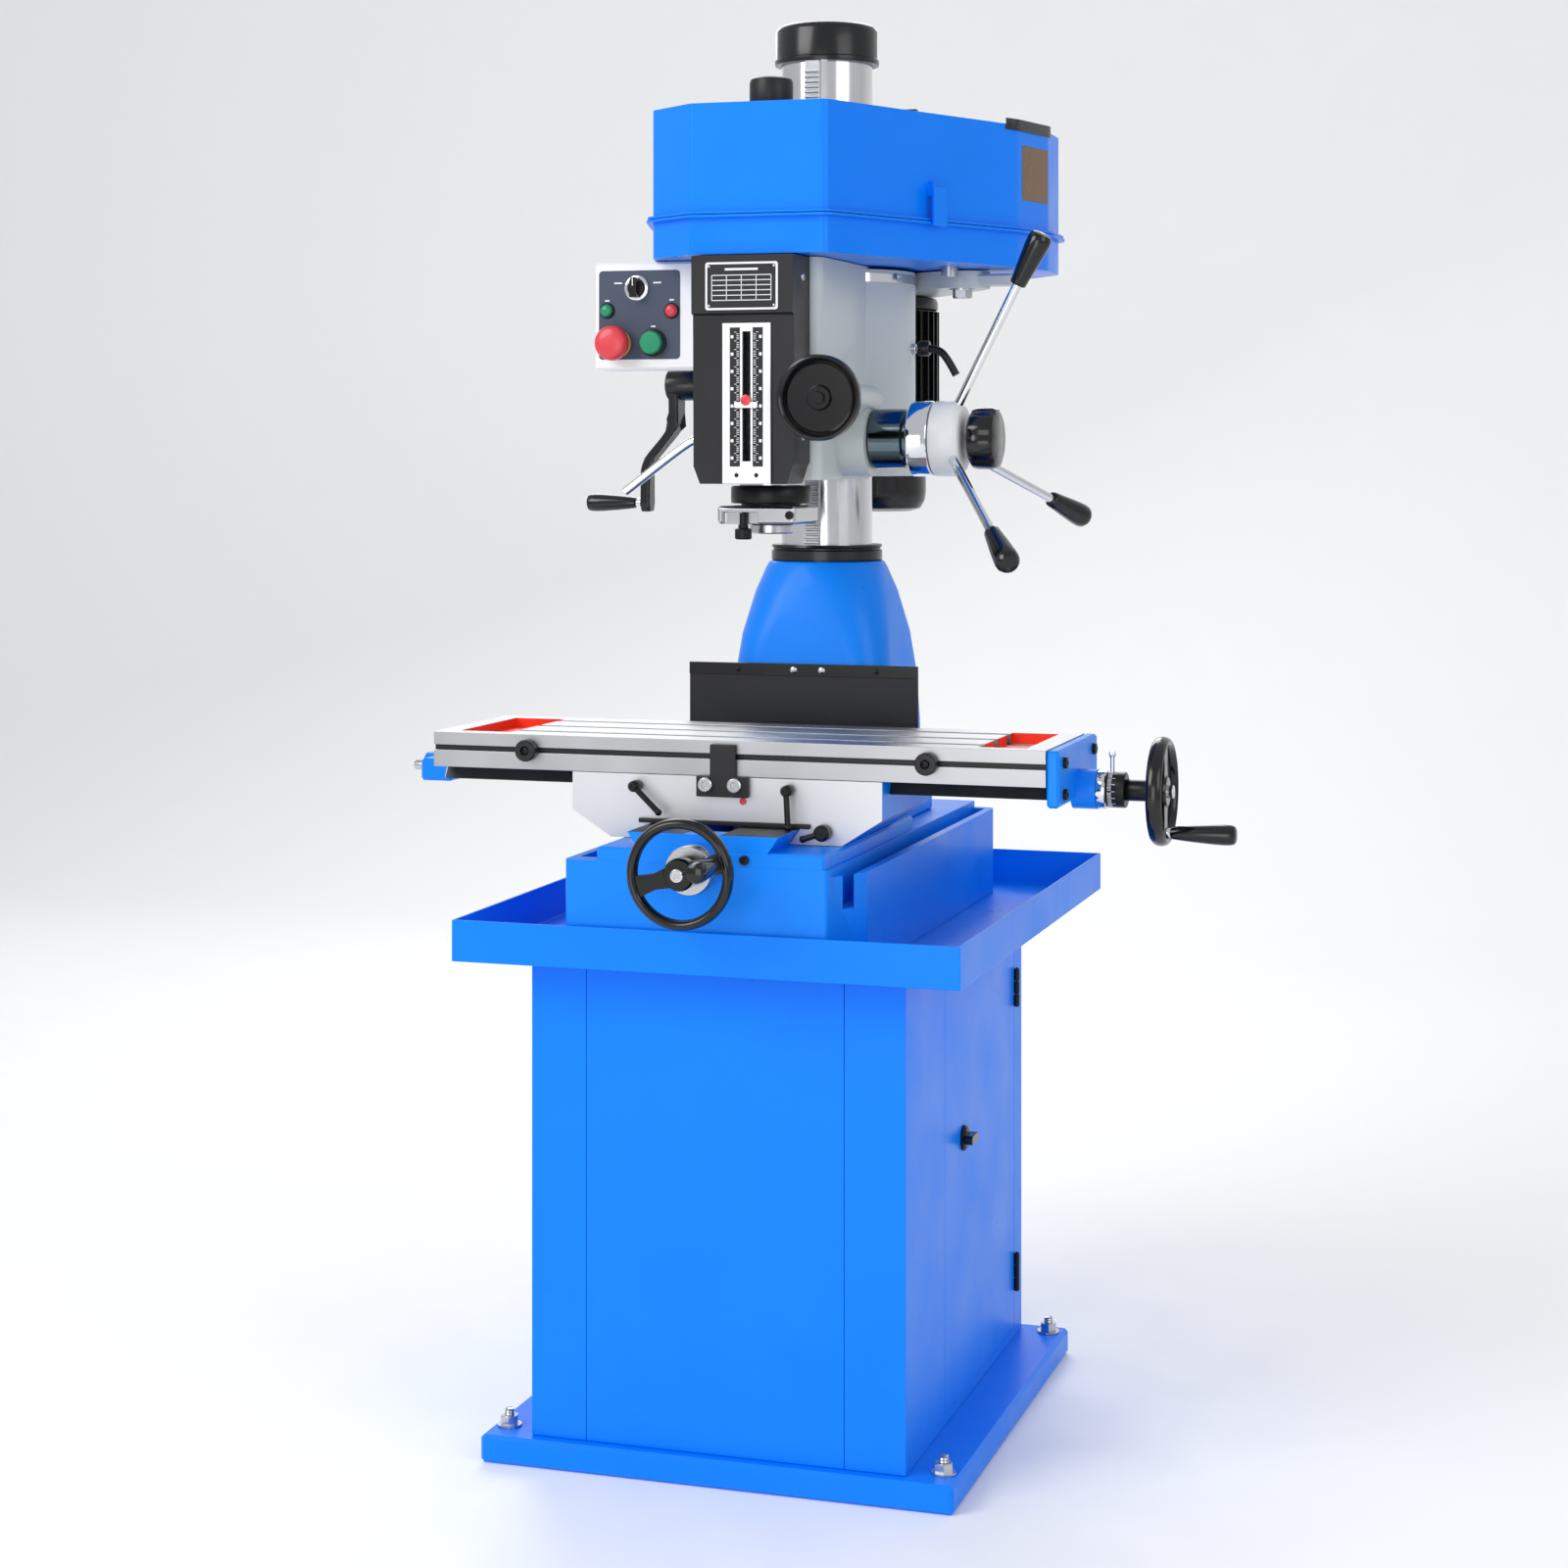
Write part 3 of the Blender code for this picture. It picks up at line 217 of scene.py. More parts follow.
# Light grey enamel on the head casting: satin over a lightly rough casting
CAST_GREY = Finish("grey enamel on cast iron", "#BCC3C5", "head_paint",
                   0.38, coat=0.15, grain_mm=5.0, relief_mm=0.1, mottle=0.05)
# Ground cast iron: grey, soft sheen, lines along the wheel's path
GROUND_IRON = Finish("ground cast iron", "#B4B5B8", "bright_iron", 0.36,
                     1.0, grain_mm=1.2, relief_mm=0.01, mottle=0.09,
                     stretch=(0.03, 1.0, 1.0))
# Scraped and milled face of the saddle: paler and flatter than the table top
MILLED_IRON = Finish("milled cast iron", "#CFD0D3", "bright_iron", 0.42,
                     0.85, grain_mm=1.5, relief_mm=0.012, mottle=0.07,
                     stretch=(0.05, 1.0, 1.0))
# Dark cast iron with dull streaks along the slide: old oil on the base's way faces, and
# painted shade on the dovetail under the table
OIL_AND_SHADE_IRON = Finish("oiled cast iron and painted shade", "#3A3C40", "bright_iron", 0.5, 0.9,
                   grain_mm=1.5, relief_mm=0.02, stretch=(0.05, 1.0, 1.0))
# Centreless-ground tube: bright, with fine rings round it
GROUND_TUBE = Finish("ground steel tube", "#D8D9DC", "bright_steel", 0.16,
                     1.0, grain_mm=0.9, relief_mm=0.004, mottle=0.03,
                     stretch=(0.1, 0.1, 1.0))
# Steel from the lathe: bright, with faint tool rings
TURNED_STEEL = Finish("turned steel", "#C4C6C9", "bright_steel", 0.24, 1.0,
                      grain_mm=0.8, relief_mm=0.006, mottle=0.04)
# Bright nickel and chrome: near mirror with faint handling marks
CHROME = Finish("chrome plate", "#DDE0E4", "chrome", 0.08, 1.0,
                grain_mm=8.0, relief_mm=0.002, mottle=0.02)
# Chrome in shade: grey mirror
DARK_CHROME = Finish("dark chrome", "#5F6E76", "chrome", 0.14, 1.0,
                     grain_mm=8.0, relief_mm=0.002, mottle=0.05)
# Chemical black on steel: near black with a soft metal sheen
BLACK_OXIDE = Finish("blackened steel", "#0F1012", "black_steel", 0.34,
                     0.35, grain_mm=1.5, relief_mm=0.008)
# Gloss enamel on turned and cast parts: deep black with a clear highlight
BLACK_ENAMEL = Finish("black enamel", "#08090B", "black_steel", roughness=0.26, coat=0.15,
                      grain_mm=2.5, relief_mm=0.02)
# Satin paint on the front cover: black, with a dull wide highlight
BLACK_PAINT = Finish("satin black paint", "#121216", "black_plastic", roughness=0.4,
                     grain_mm=1.2, relief_mm=0.03)
# Phenolic moulding: deep black, well polished on wheels and grips
BAKELITE = Finish("black phenolic", "#070709", "black_plastic", 0.18,
                  coat=0.2, grain_mm=3.0, relief_mm=0.006)
# Rubber-coated sheet: flat black, slightly blue
GUARD_BLACK = Finish("black rubberised sheet", "#15161C", "black_steel", roughness=0.4,
                     grain_mm=1.0, relief_mm=0.02)
# Powder coat on the electric box: even white, slightly rough
WHITE_PAINT = Finish("white powder coat", "#E9EAEC", "white_sheet", roughness=0.42,
                     grain_mm=1.0, relief_mm=0.02, mottle=0.015)
# Enamel on the lever hub: pale silver, smooth
HUB_WHITE = Finish("silver-white enamel", "#D7DADC", "white_sheet", roughness=0.3,
                   grain_mm=1.5, relief_mm=0.01, mottle=0.02)
# Brushed red enamel in the pockets: bright and uneven
POCKET_RED = Finish("red primer enamel", "#F2330F", "red_plastic", 0.42,
                    grain_mm=4.0, relief_mm=0.06)
# Moulded caps and lenses: clean colour with a small bright spot
RED_PLASTIC = Finish("red plastic", "#D23A44", "red_plastic", 0.28,
                     coat=0.2, grain_mm=2.0, relief_mm=0.004)
GREEN_PLASTIC = Finish("green plastic", "#0B8A5F", "green_plastic", 0.28,
                       coat=0.2, grain_mm=2.0, relief_mm=0.004)
# Ring under the emergency stop: plain yellow
YELLOW_RING = Finish("yellow plastic ring", "#E8B81E", "red_plastic", 0.4)
# Printed film on the box: slate blue, with a fine matt grain
SLATE_PANEL = Finish("slate printed panel", "#3D465A", "white_sheet",
                     0.45, grain_mm=0.8, relief_mm=0.008, mottle=0.03)
# Anodised and printed plate: clean white, almost flat
SCALE_WHITE = Finish("anodised scale plate", "#E6E7E8", "white_sheet",
                     0.38, grain_mm=1.0, relief_mm=0.004, mottle=0.015)
# Printing ink: flat black
PRINT_BLACK = Finish("black print", "#111215", "black_plastic", 0.5,
                     grain_mm=1.0, relief_mm=0.004)
# Label on the cover's shaded right side: brown and shiny, a yellow label's colour darkened by
# painted shade
LABEL_BROWN_PAINTED_SHADE = Finish("label with painted shade", "#6E5236", "black_plastic", 0.25,
                     grain_mm=2.0, relief_mm=0.003)
# Turned aluminium casting: pale grey, with the grain of the casting
PULLEY_METAL = Finish("cast aluminium", "#B9BBBE", "pulley_metal", 0.35, 1.0,
                      grain_mm=1.5, relief_mm=0.02)
# Rubber and cord: dull black, no highlight
BELT_RUBBER = Finish("belt rubber", "#141414", "belt_rubber", 0.85,
                     grain_mm=0.8, relief_mm=0.03)


# ------------------------------------------------------------------ meshes

def to_mesh(bm: bmesh.types.BMesh) -> bpy.types.Mesh:
    """Makes a mesh of a bmesh with its faces outwards, and frees it."""
    bmesh.ops.remove_doubles(bm, verts=bm.verts, dist=1e-6)
    bmesh.ops.recalc_face_normals(bm, faces=bm.faces)
    mesh = bpy.data.meshes.new("shape")
    bm.to_mesh(mesh)
    bm.free()
    return mesh


def block(x: Point, y: Point, z: Point) -> bpy.types.Mesh:
    """A block between two limits on each axis."""
    bm = bmesh.new()
    bmesh.ops.create_cube(bm, size=1.0)
    size = Vector((x[1] - x[0], y[1] - y[0], z[1] - z[0]))
    middle = Vector((x[0] + x[1], y[0] + y[1], z[0] + z[1])) / 2
    bm.transform(Matrix.Translation(middle) @ Matrix.Diagonal(size).to_4x4())
    return to_mesh(bm)


def axes_at(at: Point, along: Point, across: Point | None = None) -> Matrix:
    """Axes at a point whose Z runs along a direction and whose X lies near another.

    Args:
        at: Origin of the axes.
        along: Direction of Z.
        across: Direction that X follows as nearly as it can.

    Returns:
        The 4 by 4 matrix.
    """
    z = Vector(along).normalized()
    hint = Vector(across) if across is not None else z.orthogonal()
    x = (hint - z * hint.dot(z)).normalized()
    turn = Matrix((x, z.cross(x), z)).transposed().to_4x4()
    return Matrix.Translation(Vector(at)) @ turn


def placed(mesh: bpy.types.Mesh, at: Point, along: Point,
           across: Point | None = None) -> bpy.types.Mesh:
    """Moves a mesh drawn along +Z to a point and a direction, and returns it."""
    mesh.transform(axes_at(at, along, across))
    return mesh


def lathe(profile: Profile, at: Point, along: Point = (0, 0, 1),
          sides: int = 48) -> bpy.types.Mesh:
    """Turns a profile of (radius, height) points round a line.

    Args:
        profile: Points from one end to the other. One that leaves the axis is a ring.
        at: Point on the line at height 0.
        along: Direction of the line.
        sides: Number of sides.

    Returns:
        The mesh.
    """
    bm = bmesh.new()
    rings = []
    for radius, height in profile:
        count = sides if radius > 0 else 1
        rings.append([bm.verts.new((radius * math.cos(2 * math.pi * i / sides),
                                    radius * math.sin(2 * math.pi * i / sides), height))
                      for i in range(count)])
    pairs = list(zip(rings, rings[1:]))
    if profile[0][0] > 0:
        pairs.append((rings[-1], rings[0]))
    for low, high in pairs:
        for i in range(sides):
            j = (i + 1) % sides
            ring = dict.fromkeys((low[i % len(low)], low[j % len(low)],
                                  high[j % len(high)], high[i % len(high)]))
            if len(ring) > 2:
                bm.faces.new(list(ring))
    bm.transform(axes_at(at, along))
    return to_mesh(bm)


def rod(points: Sequence[Point], radius: float, sides: int = 20,
        smooth_steps: int = 0) -> bpy.types.Mesh:
    """A round bar through a few points.

    Args:
        points: The bar's centre line.
        radius: Radius of the bar.
        sides: Number of sides.
        smooth_steps: Times the line's corners are cut, so that it bends smoothly.

    Returns:
        The mesh.
    """
    line = [Vector(p) for p in points]
    for _ in range(smooth_steps):
        cut = [line[0]]
        for a, b in zip(line, line[1:]):
            cut += [a.lerp(b, 0.25), a.lerp(b, 0.75)]
        line = cut + [line[-1]]
    bm = bmesh.new()
    rings = []
    side = None
    for i, point in enumerate(line):
        tangent = (line[min(i + 1, len(line) - 1)] - line[max(i - 1, 0)]).normalized()
        side = side or tangent.orthogonal()
        side = (side - tangent * side.dot(tangent)).normalized()
        other = tangent.cross(side)
        angles = [2 * math.pi * k / sides for k in range(sides)]
        rings.append([bm.verts.new(point + radius * (side * math.cos(a)
                                                     + other * math.sin(a)))
                      for a in angles])
    for low, high in zip(rings, rings[1:]):
        for k in range(sides):
            j = (k + 1) % sides
            bm.faces.new((low[k], low[j], high[j], high[k]))
    bm.faces.new(rings[0])
    bm.faces.new(rings[-1])
    return to_mesh(bm)


def prism(outline: Sequence[Point], low: float, high: float, axes: Matrix) -> bpy.types.Mesh:
    """Extrudes an outline along the Z of some axes."""
    bm = bmesh.new()
    rings = [[bm.verts.new((a, b, h)) for a, b in outline] for h in (low, high)]
    for i in range(len(outline)):
        j = (i + 1) % len(outline)
        bm.faces.new((rings[0][i], rings[0][j], rings[1][j], rings[1][i]))
    for ring in rings:
        bm.faces.new(ring)
    bm.transform(axes)
    return to_mesh(bm)


def arc(centre: Point, radius: float, start: float, end: float,
        steps: int) -> list[tuple[float, float]]:
    """Points on a circle between two angles in degrees."""
    angles = [math.radians(start + (end - start) * i / steps) for i in range(steps + 1)]
    return [(centre[0] + radius * math.cos(a), centre[1] + radius * math.sin(a))
            for a in angles]


def rounded_box_outline(half_a: float, half_b: float, radius: float,
                        steps: int = 5) -> list[tuple[float, float]]:
    """Outline of a rectangle with round corners, centred on the origin."""
    outline = []
    for sa, sb, start in ((1, 1, 0), (-1, 1, 90), (-1, -1, 180), (1, -1, 270)):
        outline += arc((sa * (half_a - radius), sb * (half_b - radius)), radius,
                       start, start + 90, steps)
    return outline


def joined(meshes: Iterable[bpy.types.Mesh]) -> bpy.types.Mesh:
    """Puts several meshes into one."""
    bm = bmesh.new()
    for mesh in meshes:
        bm.from_mesh(mesh)
        bpy.data.meshes.remove(mesh)
    mesh = bpy.data.meshes.new("shape")
    bm.to_mesh(mesh)
    bm.free()
    return mesh


def heights(node: str) -> tuple[float, float]:
    """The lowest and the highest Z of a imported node."""
    low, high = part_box(node)
    return low[2], high[2]


def plain_mesh(obj: bpy.types.Object) -> bpy.types.Mesh:
    """The evaluated mesh of an object, as a plain mesh."""
    bpy.context.view_layer.update()
    graph = bpy.context.evaluated_depsgraph_get()
    return bpy.data.meshes.new_from_object(obj.evaluated_get(graph), depsgraph=graph)


def carve(mesh: bpy.types.Mesh, cutters: Iterable[bpy.types.Mesh],
          operation: str = "DIFFERENCE") -> bpy.types.Mesh:
    """Cuts or joins closed meshes with Booleans.

    Args:
        mesh: The mesh to work on.
        cutters: The other meshes.
        operation: DIFFERENCE or UNION.

    Returns:
        The result.
    """
    obj = bpy.data.objects.new("work", mesh)
    bpy.context.collection.objects.link(obj)
    tools = []
    for cutter in cutters:
        tool = bpy.data.objects.new("tool", cutter)
        bpy.context.collection.objects.link(tool)
        modifier = obj.modifiers.new("cut", "BOOLEAN")
        modifier.operation = operation
        modifier.solver = "MANIFOLD"
        modifier.object = tool
        tools.append(tool)
    result = plain_mesh(obj)
    for used in (obj, *tools):
        bpy.data.objects.remove(used, do_unlink=True)
    return result


@dataclass
class Maker:
    """Turns meshes into finished pieces that ride on the machine's bodies."""

    frame: dict
    bodies: dict[str, str] = field(default_factory=dict)
    count: int = 0

    def __post_init__(self) -> None:
        """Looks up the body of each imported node."""
        for body, nodes in self.frame["record"]["behaviour"]["bodies"].items():
            for node in nodes:
                self.bodies[node] = body

    def piece(self, name: str, mesh: bpy.types.Mesh, finish: Finish, body: str,
              bevel_mm: float = 0.0, replaces: Sequence[str] = (), sharp: float = 38,
              segments: int = 2) -> bpy.types.Object:
        """Makes one finished piece.

        Args:
            name: The piece's name.
            mesh: Its shape, in the machine's frame.
            finish: Its finish.
            body: The body it rides on.
            bevel_mm: Width of the rounding of its edges.
            replaces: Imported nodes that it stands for.
            sharp: Angle in degrees above which an edge stays sharp.
            segments: Steps across each rounded edge.

        Returns:
            The piece's object.
        """
        mesh.name = name
        mesh.materials.clear()
        mesh.materials.append(finish.material())
        obj = bpy.data.objects.new(name, mesh)
        bpy.context.collection.objects.link(obj)
        if bevel_mm:
            bevel = obj.modifiers.new("edges", "BEVEL")
            bevel.width = bevel_mm * MM
            bevel.segments = segments
            bevel.limit_method = "ANGLE"
            bevel.angle_limit = math.radians(sharp - 6)
            bevel.use_clamp_overlap = True
            obj.data = plain_mesh(obj)
            obj.data.name = name
            obj.modifiers.clear()
            bpy.data.meshes.remove(mesh)
        obj.data.shade_smooth()
        obj.data.set_sharp_from_angle(angle=math.radians(sharp))
        if bevel_mm:
            weighted = obj.modifiers.new("shading", "WEIGHTED_NORMAL")
            weighted.keep_sharp = True
        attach(obj, body)
        if replaces:
            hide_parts(*replaces)
        self.count += 1
        LOG.info("%s on %s", name, body)
        return obj

    def copy_of(self, node: str) -> bpy.types.Mesh:
        """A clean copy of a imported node's mesh: merged, with its flat faces joined."""
        bm = bmesh.new()
        bm.from_mesh(self.frame["nodes"][node].data)
        bm.transform(self.frame["nodes"][node].matrix_world)
        bmesh.ops.remove_doubles(bm, verts=bm.verts, dist=5e-6)
        bmesh.ops.dissolve_limit(bm, angle_limit=math.radians(0.5), verts=bm.verts,
                                 edges=bm.edges)
        return to_mesh(bm)

    def refine(self, node: str, finish: Finish, bevel_mm: float = 0.8,
               sharp: float = 38) -> bpy.types.Object:
        """Stands a smooth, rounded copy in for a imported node.

        Args:
            node: The node's name.
            finish: Its finish.
            bevel_mm: Width of the rounding of its edges.
            sharp: Angle in degrees above which an edge stays sharp.

        Returns:
            The piece's object.
        """
        return self.piece(f"{node}_finished", self.copy_of(node), finish,
                          self.bodies[node], bevel_mm, (node,), sharp)


class Row:
    """A Geometry Nodes tree that repeats a shape along a line or round an axis."""

    INPUTS = (("Count", "NodeSocketInt"), ("Start", "NodeSocketVector"),
              ("Step", "NodeSocketVector"), ("Turn", "NodeSocketVector"),
              ("Finish", "NodeSocketMaterial"))

    def __init__(self) -> None:
        """Builds the tree."""
        tree = bpy.data.node_groups.new("repeated_shape", "GeometryNodeTree")
        face = tree.interface
        face.new_socket("Shape", in_out="INPUT", socket_type="NodeSocketGeometry")
        self.sockets = {name: face.new_socket(name, in_out="INPUT", socket_type=kind)
                        .identifier for name, kind in self.INPUTS}
        face.new_socket("Shape", in_out="OUTPUT", socket_type="NodeSocketGeometry")
        given = add_node(tree, "NodeGroupInput").outputs
        line = add_node(tree, "GeometryNodeMeshLine", {"mode": "OFFSET"},
                        links={"Count": given["Count"], "Start Location": given["Start"],
                               "Offset": given["Step"]})
        number = add_node(tree, "GeometryNodeInputIndex")
        turn = add_node(tree, "ShaderNodeVectorMath", {"operation": "SCALE"},
                        links={0: given["Turn"], "Scale": number.outputs[0]})
        copies = add_node(tree, "GeometryNodeInstanceOnPoints",
                          links={"Points": line.outputs[0], "Instance": given["Shape"],
                                 "Rotation": turn.outputs[0]})
        real = add_node(tree, "GeometryNodeRealizeInstances",
                        links={0: copies.outputs[0]})
        coated = add_node(tree, "GeometryNodeSetMaterial",
                          links={"Geometry": real.outputs[0],
                                 "Material": given["Finish"]})
        add_node(tree, "NodeGroupOutput", links={0: coated.outputs[0]})
        self.tree = tree

    def repeat(self, shape: bpy.types.Mesh, count: int, finish: Finish,
               step: Point = (0, 0, 0), turn: Point = (0, 0, 0),
               axes: Matrix | None = None) -> bpy.types.Mesh:
        """Repeats a shape and returns one plain mesh.

        Args:
            shape: The shape, round the origin.
            count: How many there are.
            finish: The finish that the tree sets.
            step: Distance from each to the next.
            turn: Rotation from each to the next, in degrees about X, Y and Z.
            axes: Where the result goes.

        Returns:
            The mesh.
        """
        obj = bpy.data.objects.new("row", shape)
        bpy.context.collection.objects.link(obj)
        modifier = obj.modifiers.new("row", "NODES")
        modifier.node_group = self.tree
        modifier[self.sockets["Count"]] = count
        modifier[self.sockets["Start"]] = (0.0, 0.0, 0.0)
        modifier[self.sockets["Step"]] = tuple(float(v) for v in step)
        modifier[self.sockets["Turn"]] = tuple(math.radians(v) for v in turn)
        modifier[self.sockets["Finish"]] = finish.material()
        mesh = plain_mesh(obj)
        bpy.data.objects.remove(obj, do_unlink=True)
        bpy.data.meshes.remove(shape)
        if axes is not None:
            mesh.transform(axes)
        return mesh


# ------------------------------------------------------------------ small parts

def socket_screw(radius: float, head: float) -> bpy.types.Mesh:
    """A cap screw's head along +Z from the origin, with a hexagonal recess."""
    body = lathe([(0, -0.001), (radius, -0.001), (radius, head * 0.85),
                  (radius * 0.88, head), (0, head)], (0, 0, 0), sides=24)
    hole = lathe([(0, head * 0.4), (radius * 0.5, head * 0.4), (radius * 0.5, head * 2),
                  (0, head * 2)], (0, 0, 0), sides=6)
    return carve(body, [hole])


def hex_nut(across: float, height: float) -> bpy.types.Mesh:
    """A hexagon nut along +Z from the origin, with chamfered corners."""
    corner = across / math.sqrt(3)
    nut = lathe([(0, 0), (corner, 0), (corner, height), (0, height)], (0, 0, 0), sides=6)
    cone = lathe([(0, -0.001), (corner * 1.2, -0.001), (corner * 1.2, height * 0.55),
                  (corner * 0.86, height), (0, height)], (0, 0, 0), sides=36)
    return carve(nut, [cone], "INTERSECT")


def pan_screw(radius: float) -> bpy.types.Mesh:
    """A domed slotted screw head along +Z from the origin."""
    dome = [(radius * math.cos(a), radius * 0.5 * math.sin(a))
            for a in (math.radians(10 * i) for i in range(9))]
    head = lathe([(0, -0.0005), (radius, -0.0005)] + dome + [(0, radius * 0.5)],
                 (0, 0, 0), sides=20)
    slot = block((-radius * 2, radius * 2), (-radius * 0.13, radius * 0.13),
                 (radius * 0.22, radius))
    return carve(head, [slot])


def handle_grip(length: float, radius: float) -> bpy.types.Mesh:
    """A turned revolving grip along +Z from the origin, with its chrome end left out."""
    profile = [(0, 0), (radius * 0.58, 0), (radius * 0.62, length * 0.04),
               (radius * 0.7, length * 0.14), (radius * 0.84, length * 0.38),
               (radius * 0.96, length * 0.66), (radius, length * 0.82),
               (radius * 0.97, length * 0.92), (radius * 0.86, length * 0.975),
               (radius * 0.62, length * 0.9995), (0, length)]
    return lathe(profile, (0, 0, 0), sides=36)


@dataclass
class Wheel:
    """A two-spoke phenolic handwheel."""

    radius: float = 0.061
    section: float = 0.0095

    def mesh(self, axes: Matrix) -> bpy.types.Mesh:
        """Rim, hub and spokes.

        Args:
            axes: Axes whose Z points to the operator and whose X lies along the spokes.

        Returns:
            The mesh.
        """
        middle = self.radius - self.section * 0.62
        rim = [(middle + self.section * 0.62 * math.cos(a),
                self.section * 0.95 * math.sin(a))
               for a in (2 * math.pi * i / 20 for i in range(20))]
        hub = lathe([(0, -0.0118), (0.0165, -0.0118), (0.018, -0.008), (0.018, 0.004),
                     (0.016, 0.007), (0, 0.007)], (0, 0, 0))
        spokes = []
        width_in, width_out = 0.0125, 0.0105
        for sign in (1, -1):
            outline = [(sign * 0.006, -width_in), (sign * 0.03, -width_out * 0.82),
                       (sign * (middle + 0.002), -width_out * 1.25),
                       (sign * (middle + 0.002), width_out * 1.25),
                       (sign * 0.03, width_out * 0.82), (sign * 0.006, width_in)]
            spokes.append(prism(outline, -0.005, 0.0045, Matrix.Identity(4)))
        mesh = carve(lathe(rim, (0, 0, 0), sides=72), [hub] + spokes, "UNION")
        mesh.transform(axes)
        return mesh


# ------------------------------------------------------------------ stand

@dataclass
class Assembly:
    """What every sub-assembly draws with."""

    maker: Maker
    row: Row


@dataclass
class Stand(Assembly):
    """Foot, cabinet, panel, door and chip tray of folded sheet."""

    bolts: Sequence[tuple[float, float]] = ((-0.2585, -0.261), (0.2585, -0.261),
                                            (-0.2585, 0.273), (0.2585, 0.273))
    lock: tuple[float, float] = (-0.025, 0.3455)

    def build(self) -> None:
        """Makes every piece of the stand."""
        make = self.maker
        make.refine("stand_base", SHEET_BLUE, 1.8)
        for node in ("stand_cabinet", "stand_front_panel", "stand_door"):
            make.refine(node, SHEET_BLUE, 0.7)
        make.refine("chip_tray", SHEET_BLUE, 1.0)
        self._anchors()
        self._door_details()

    def _anchors(self) -> None:
        """Stud, nut and washer at each corner of the foot."""
        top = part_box("stand_base")[1][2]
        for number, (x, y) in enumerate(self.bolts, 1):
            nut = hex_nut(0.019, 0.01)
            nut.transform(Matrix.Translation((x, y, top + 0.0028)))
            washer = lathe([(0.0075, 0), (0.014, 0), (0.014, 0.0025), (0.0075, 0.0025)],
                           (x, y, top + 0.0003))
            thread = [(0, -0.03)]
            for i in range(34):
                thread.append((0.0058 if i % 2 else 0.005, -0.03 + 0.0015 * i))
            stud = lathe(thread + [(0.0044, 0.0205), (0, 0.0205)], (x, y, top), sides=20)
            self.maker.piece(f"anchor_bolt_{number}", joined([nut, washer, stud]),
                             TURNED_STEEL, "stand")

    def _door_details(self) -> None:
        """Hinge knuckles on the door's rear edge, and its lock."""
        face, edge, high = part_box("stand_door")[1]
        low = heights("stand_door")[0]
        for number, share in enumerate((0.14, 0.86), 1):
            z = low + (high - low) * share
            knuckles = [lathe([(0, 0), (0.0034, 0), (0.0034, 0.015), (0, 0.015)],
                              (face + 0.0036, edge + 0.0004, z - 0.024 + 0.0162 * i),
                              sides=16) for i in range(3)]
            pin = lathe([(0, 0), (0.0014, 0), (0.0014, 0.05), (0, 0.05)],
                        (face + 0.0036, edge + 0.0004, z - 0.025), sides=10)
            self.maker.piece(f"door_hinge_{number}", joined(knuckles + [pin]),
                             BLACK_OXIDE, "stand")
        y, z = self.lock
        rosette = lathe([(0, -0.0005), (0.015, 0.0003), (0.015, 0.0022),
                         (0.012, 0.005), (0, 0.0055)], (face + 0.0003, y, z), (1, 0, 0))
        lever = prism(rounded_box_outline(0.016, 0.0055, 0.005), 0.0045, 0.015,
                      axes_at((face, y, z), X_AXIS, Y_AXIS))
        self.maker.piece("door_lock_rosette", rosette, BLACK_OXIDE, "door_lock")
        self.maker.piece("door_lock_handle", lever, BAKELITE, "door_lock", 1.0)
        tongue = block((face - 0.012, face - 0.0095), (y - 0.007, y + 0.007),
                       (z - 0.006, z + 0.0935))
        spindle = lathe([(0, 0), (0.006, 0), (0.006, 0.014), (0, 0.014)],
                        (face - 0.014, y, z), (1, 0, 0), 20)
        self.maker.piece("door_lock_tongue", joined([tongue, spindle]), TURNED_STEEL,
                         "door_lock", replaces=("door_lock",))


# ------------------------------------------------------------------ base and column

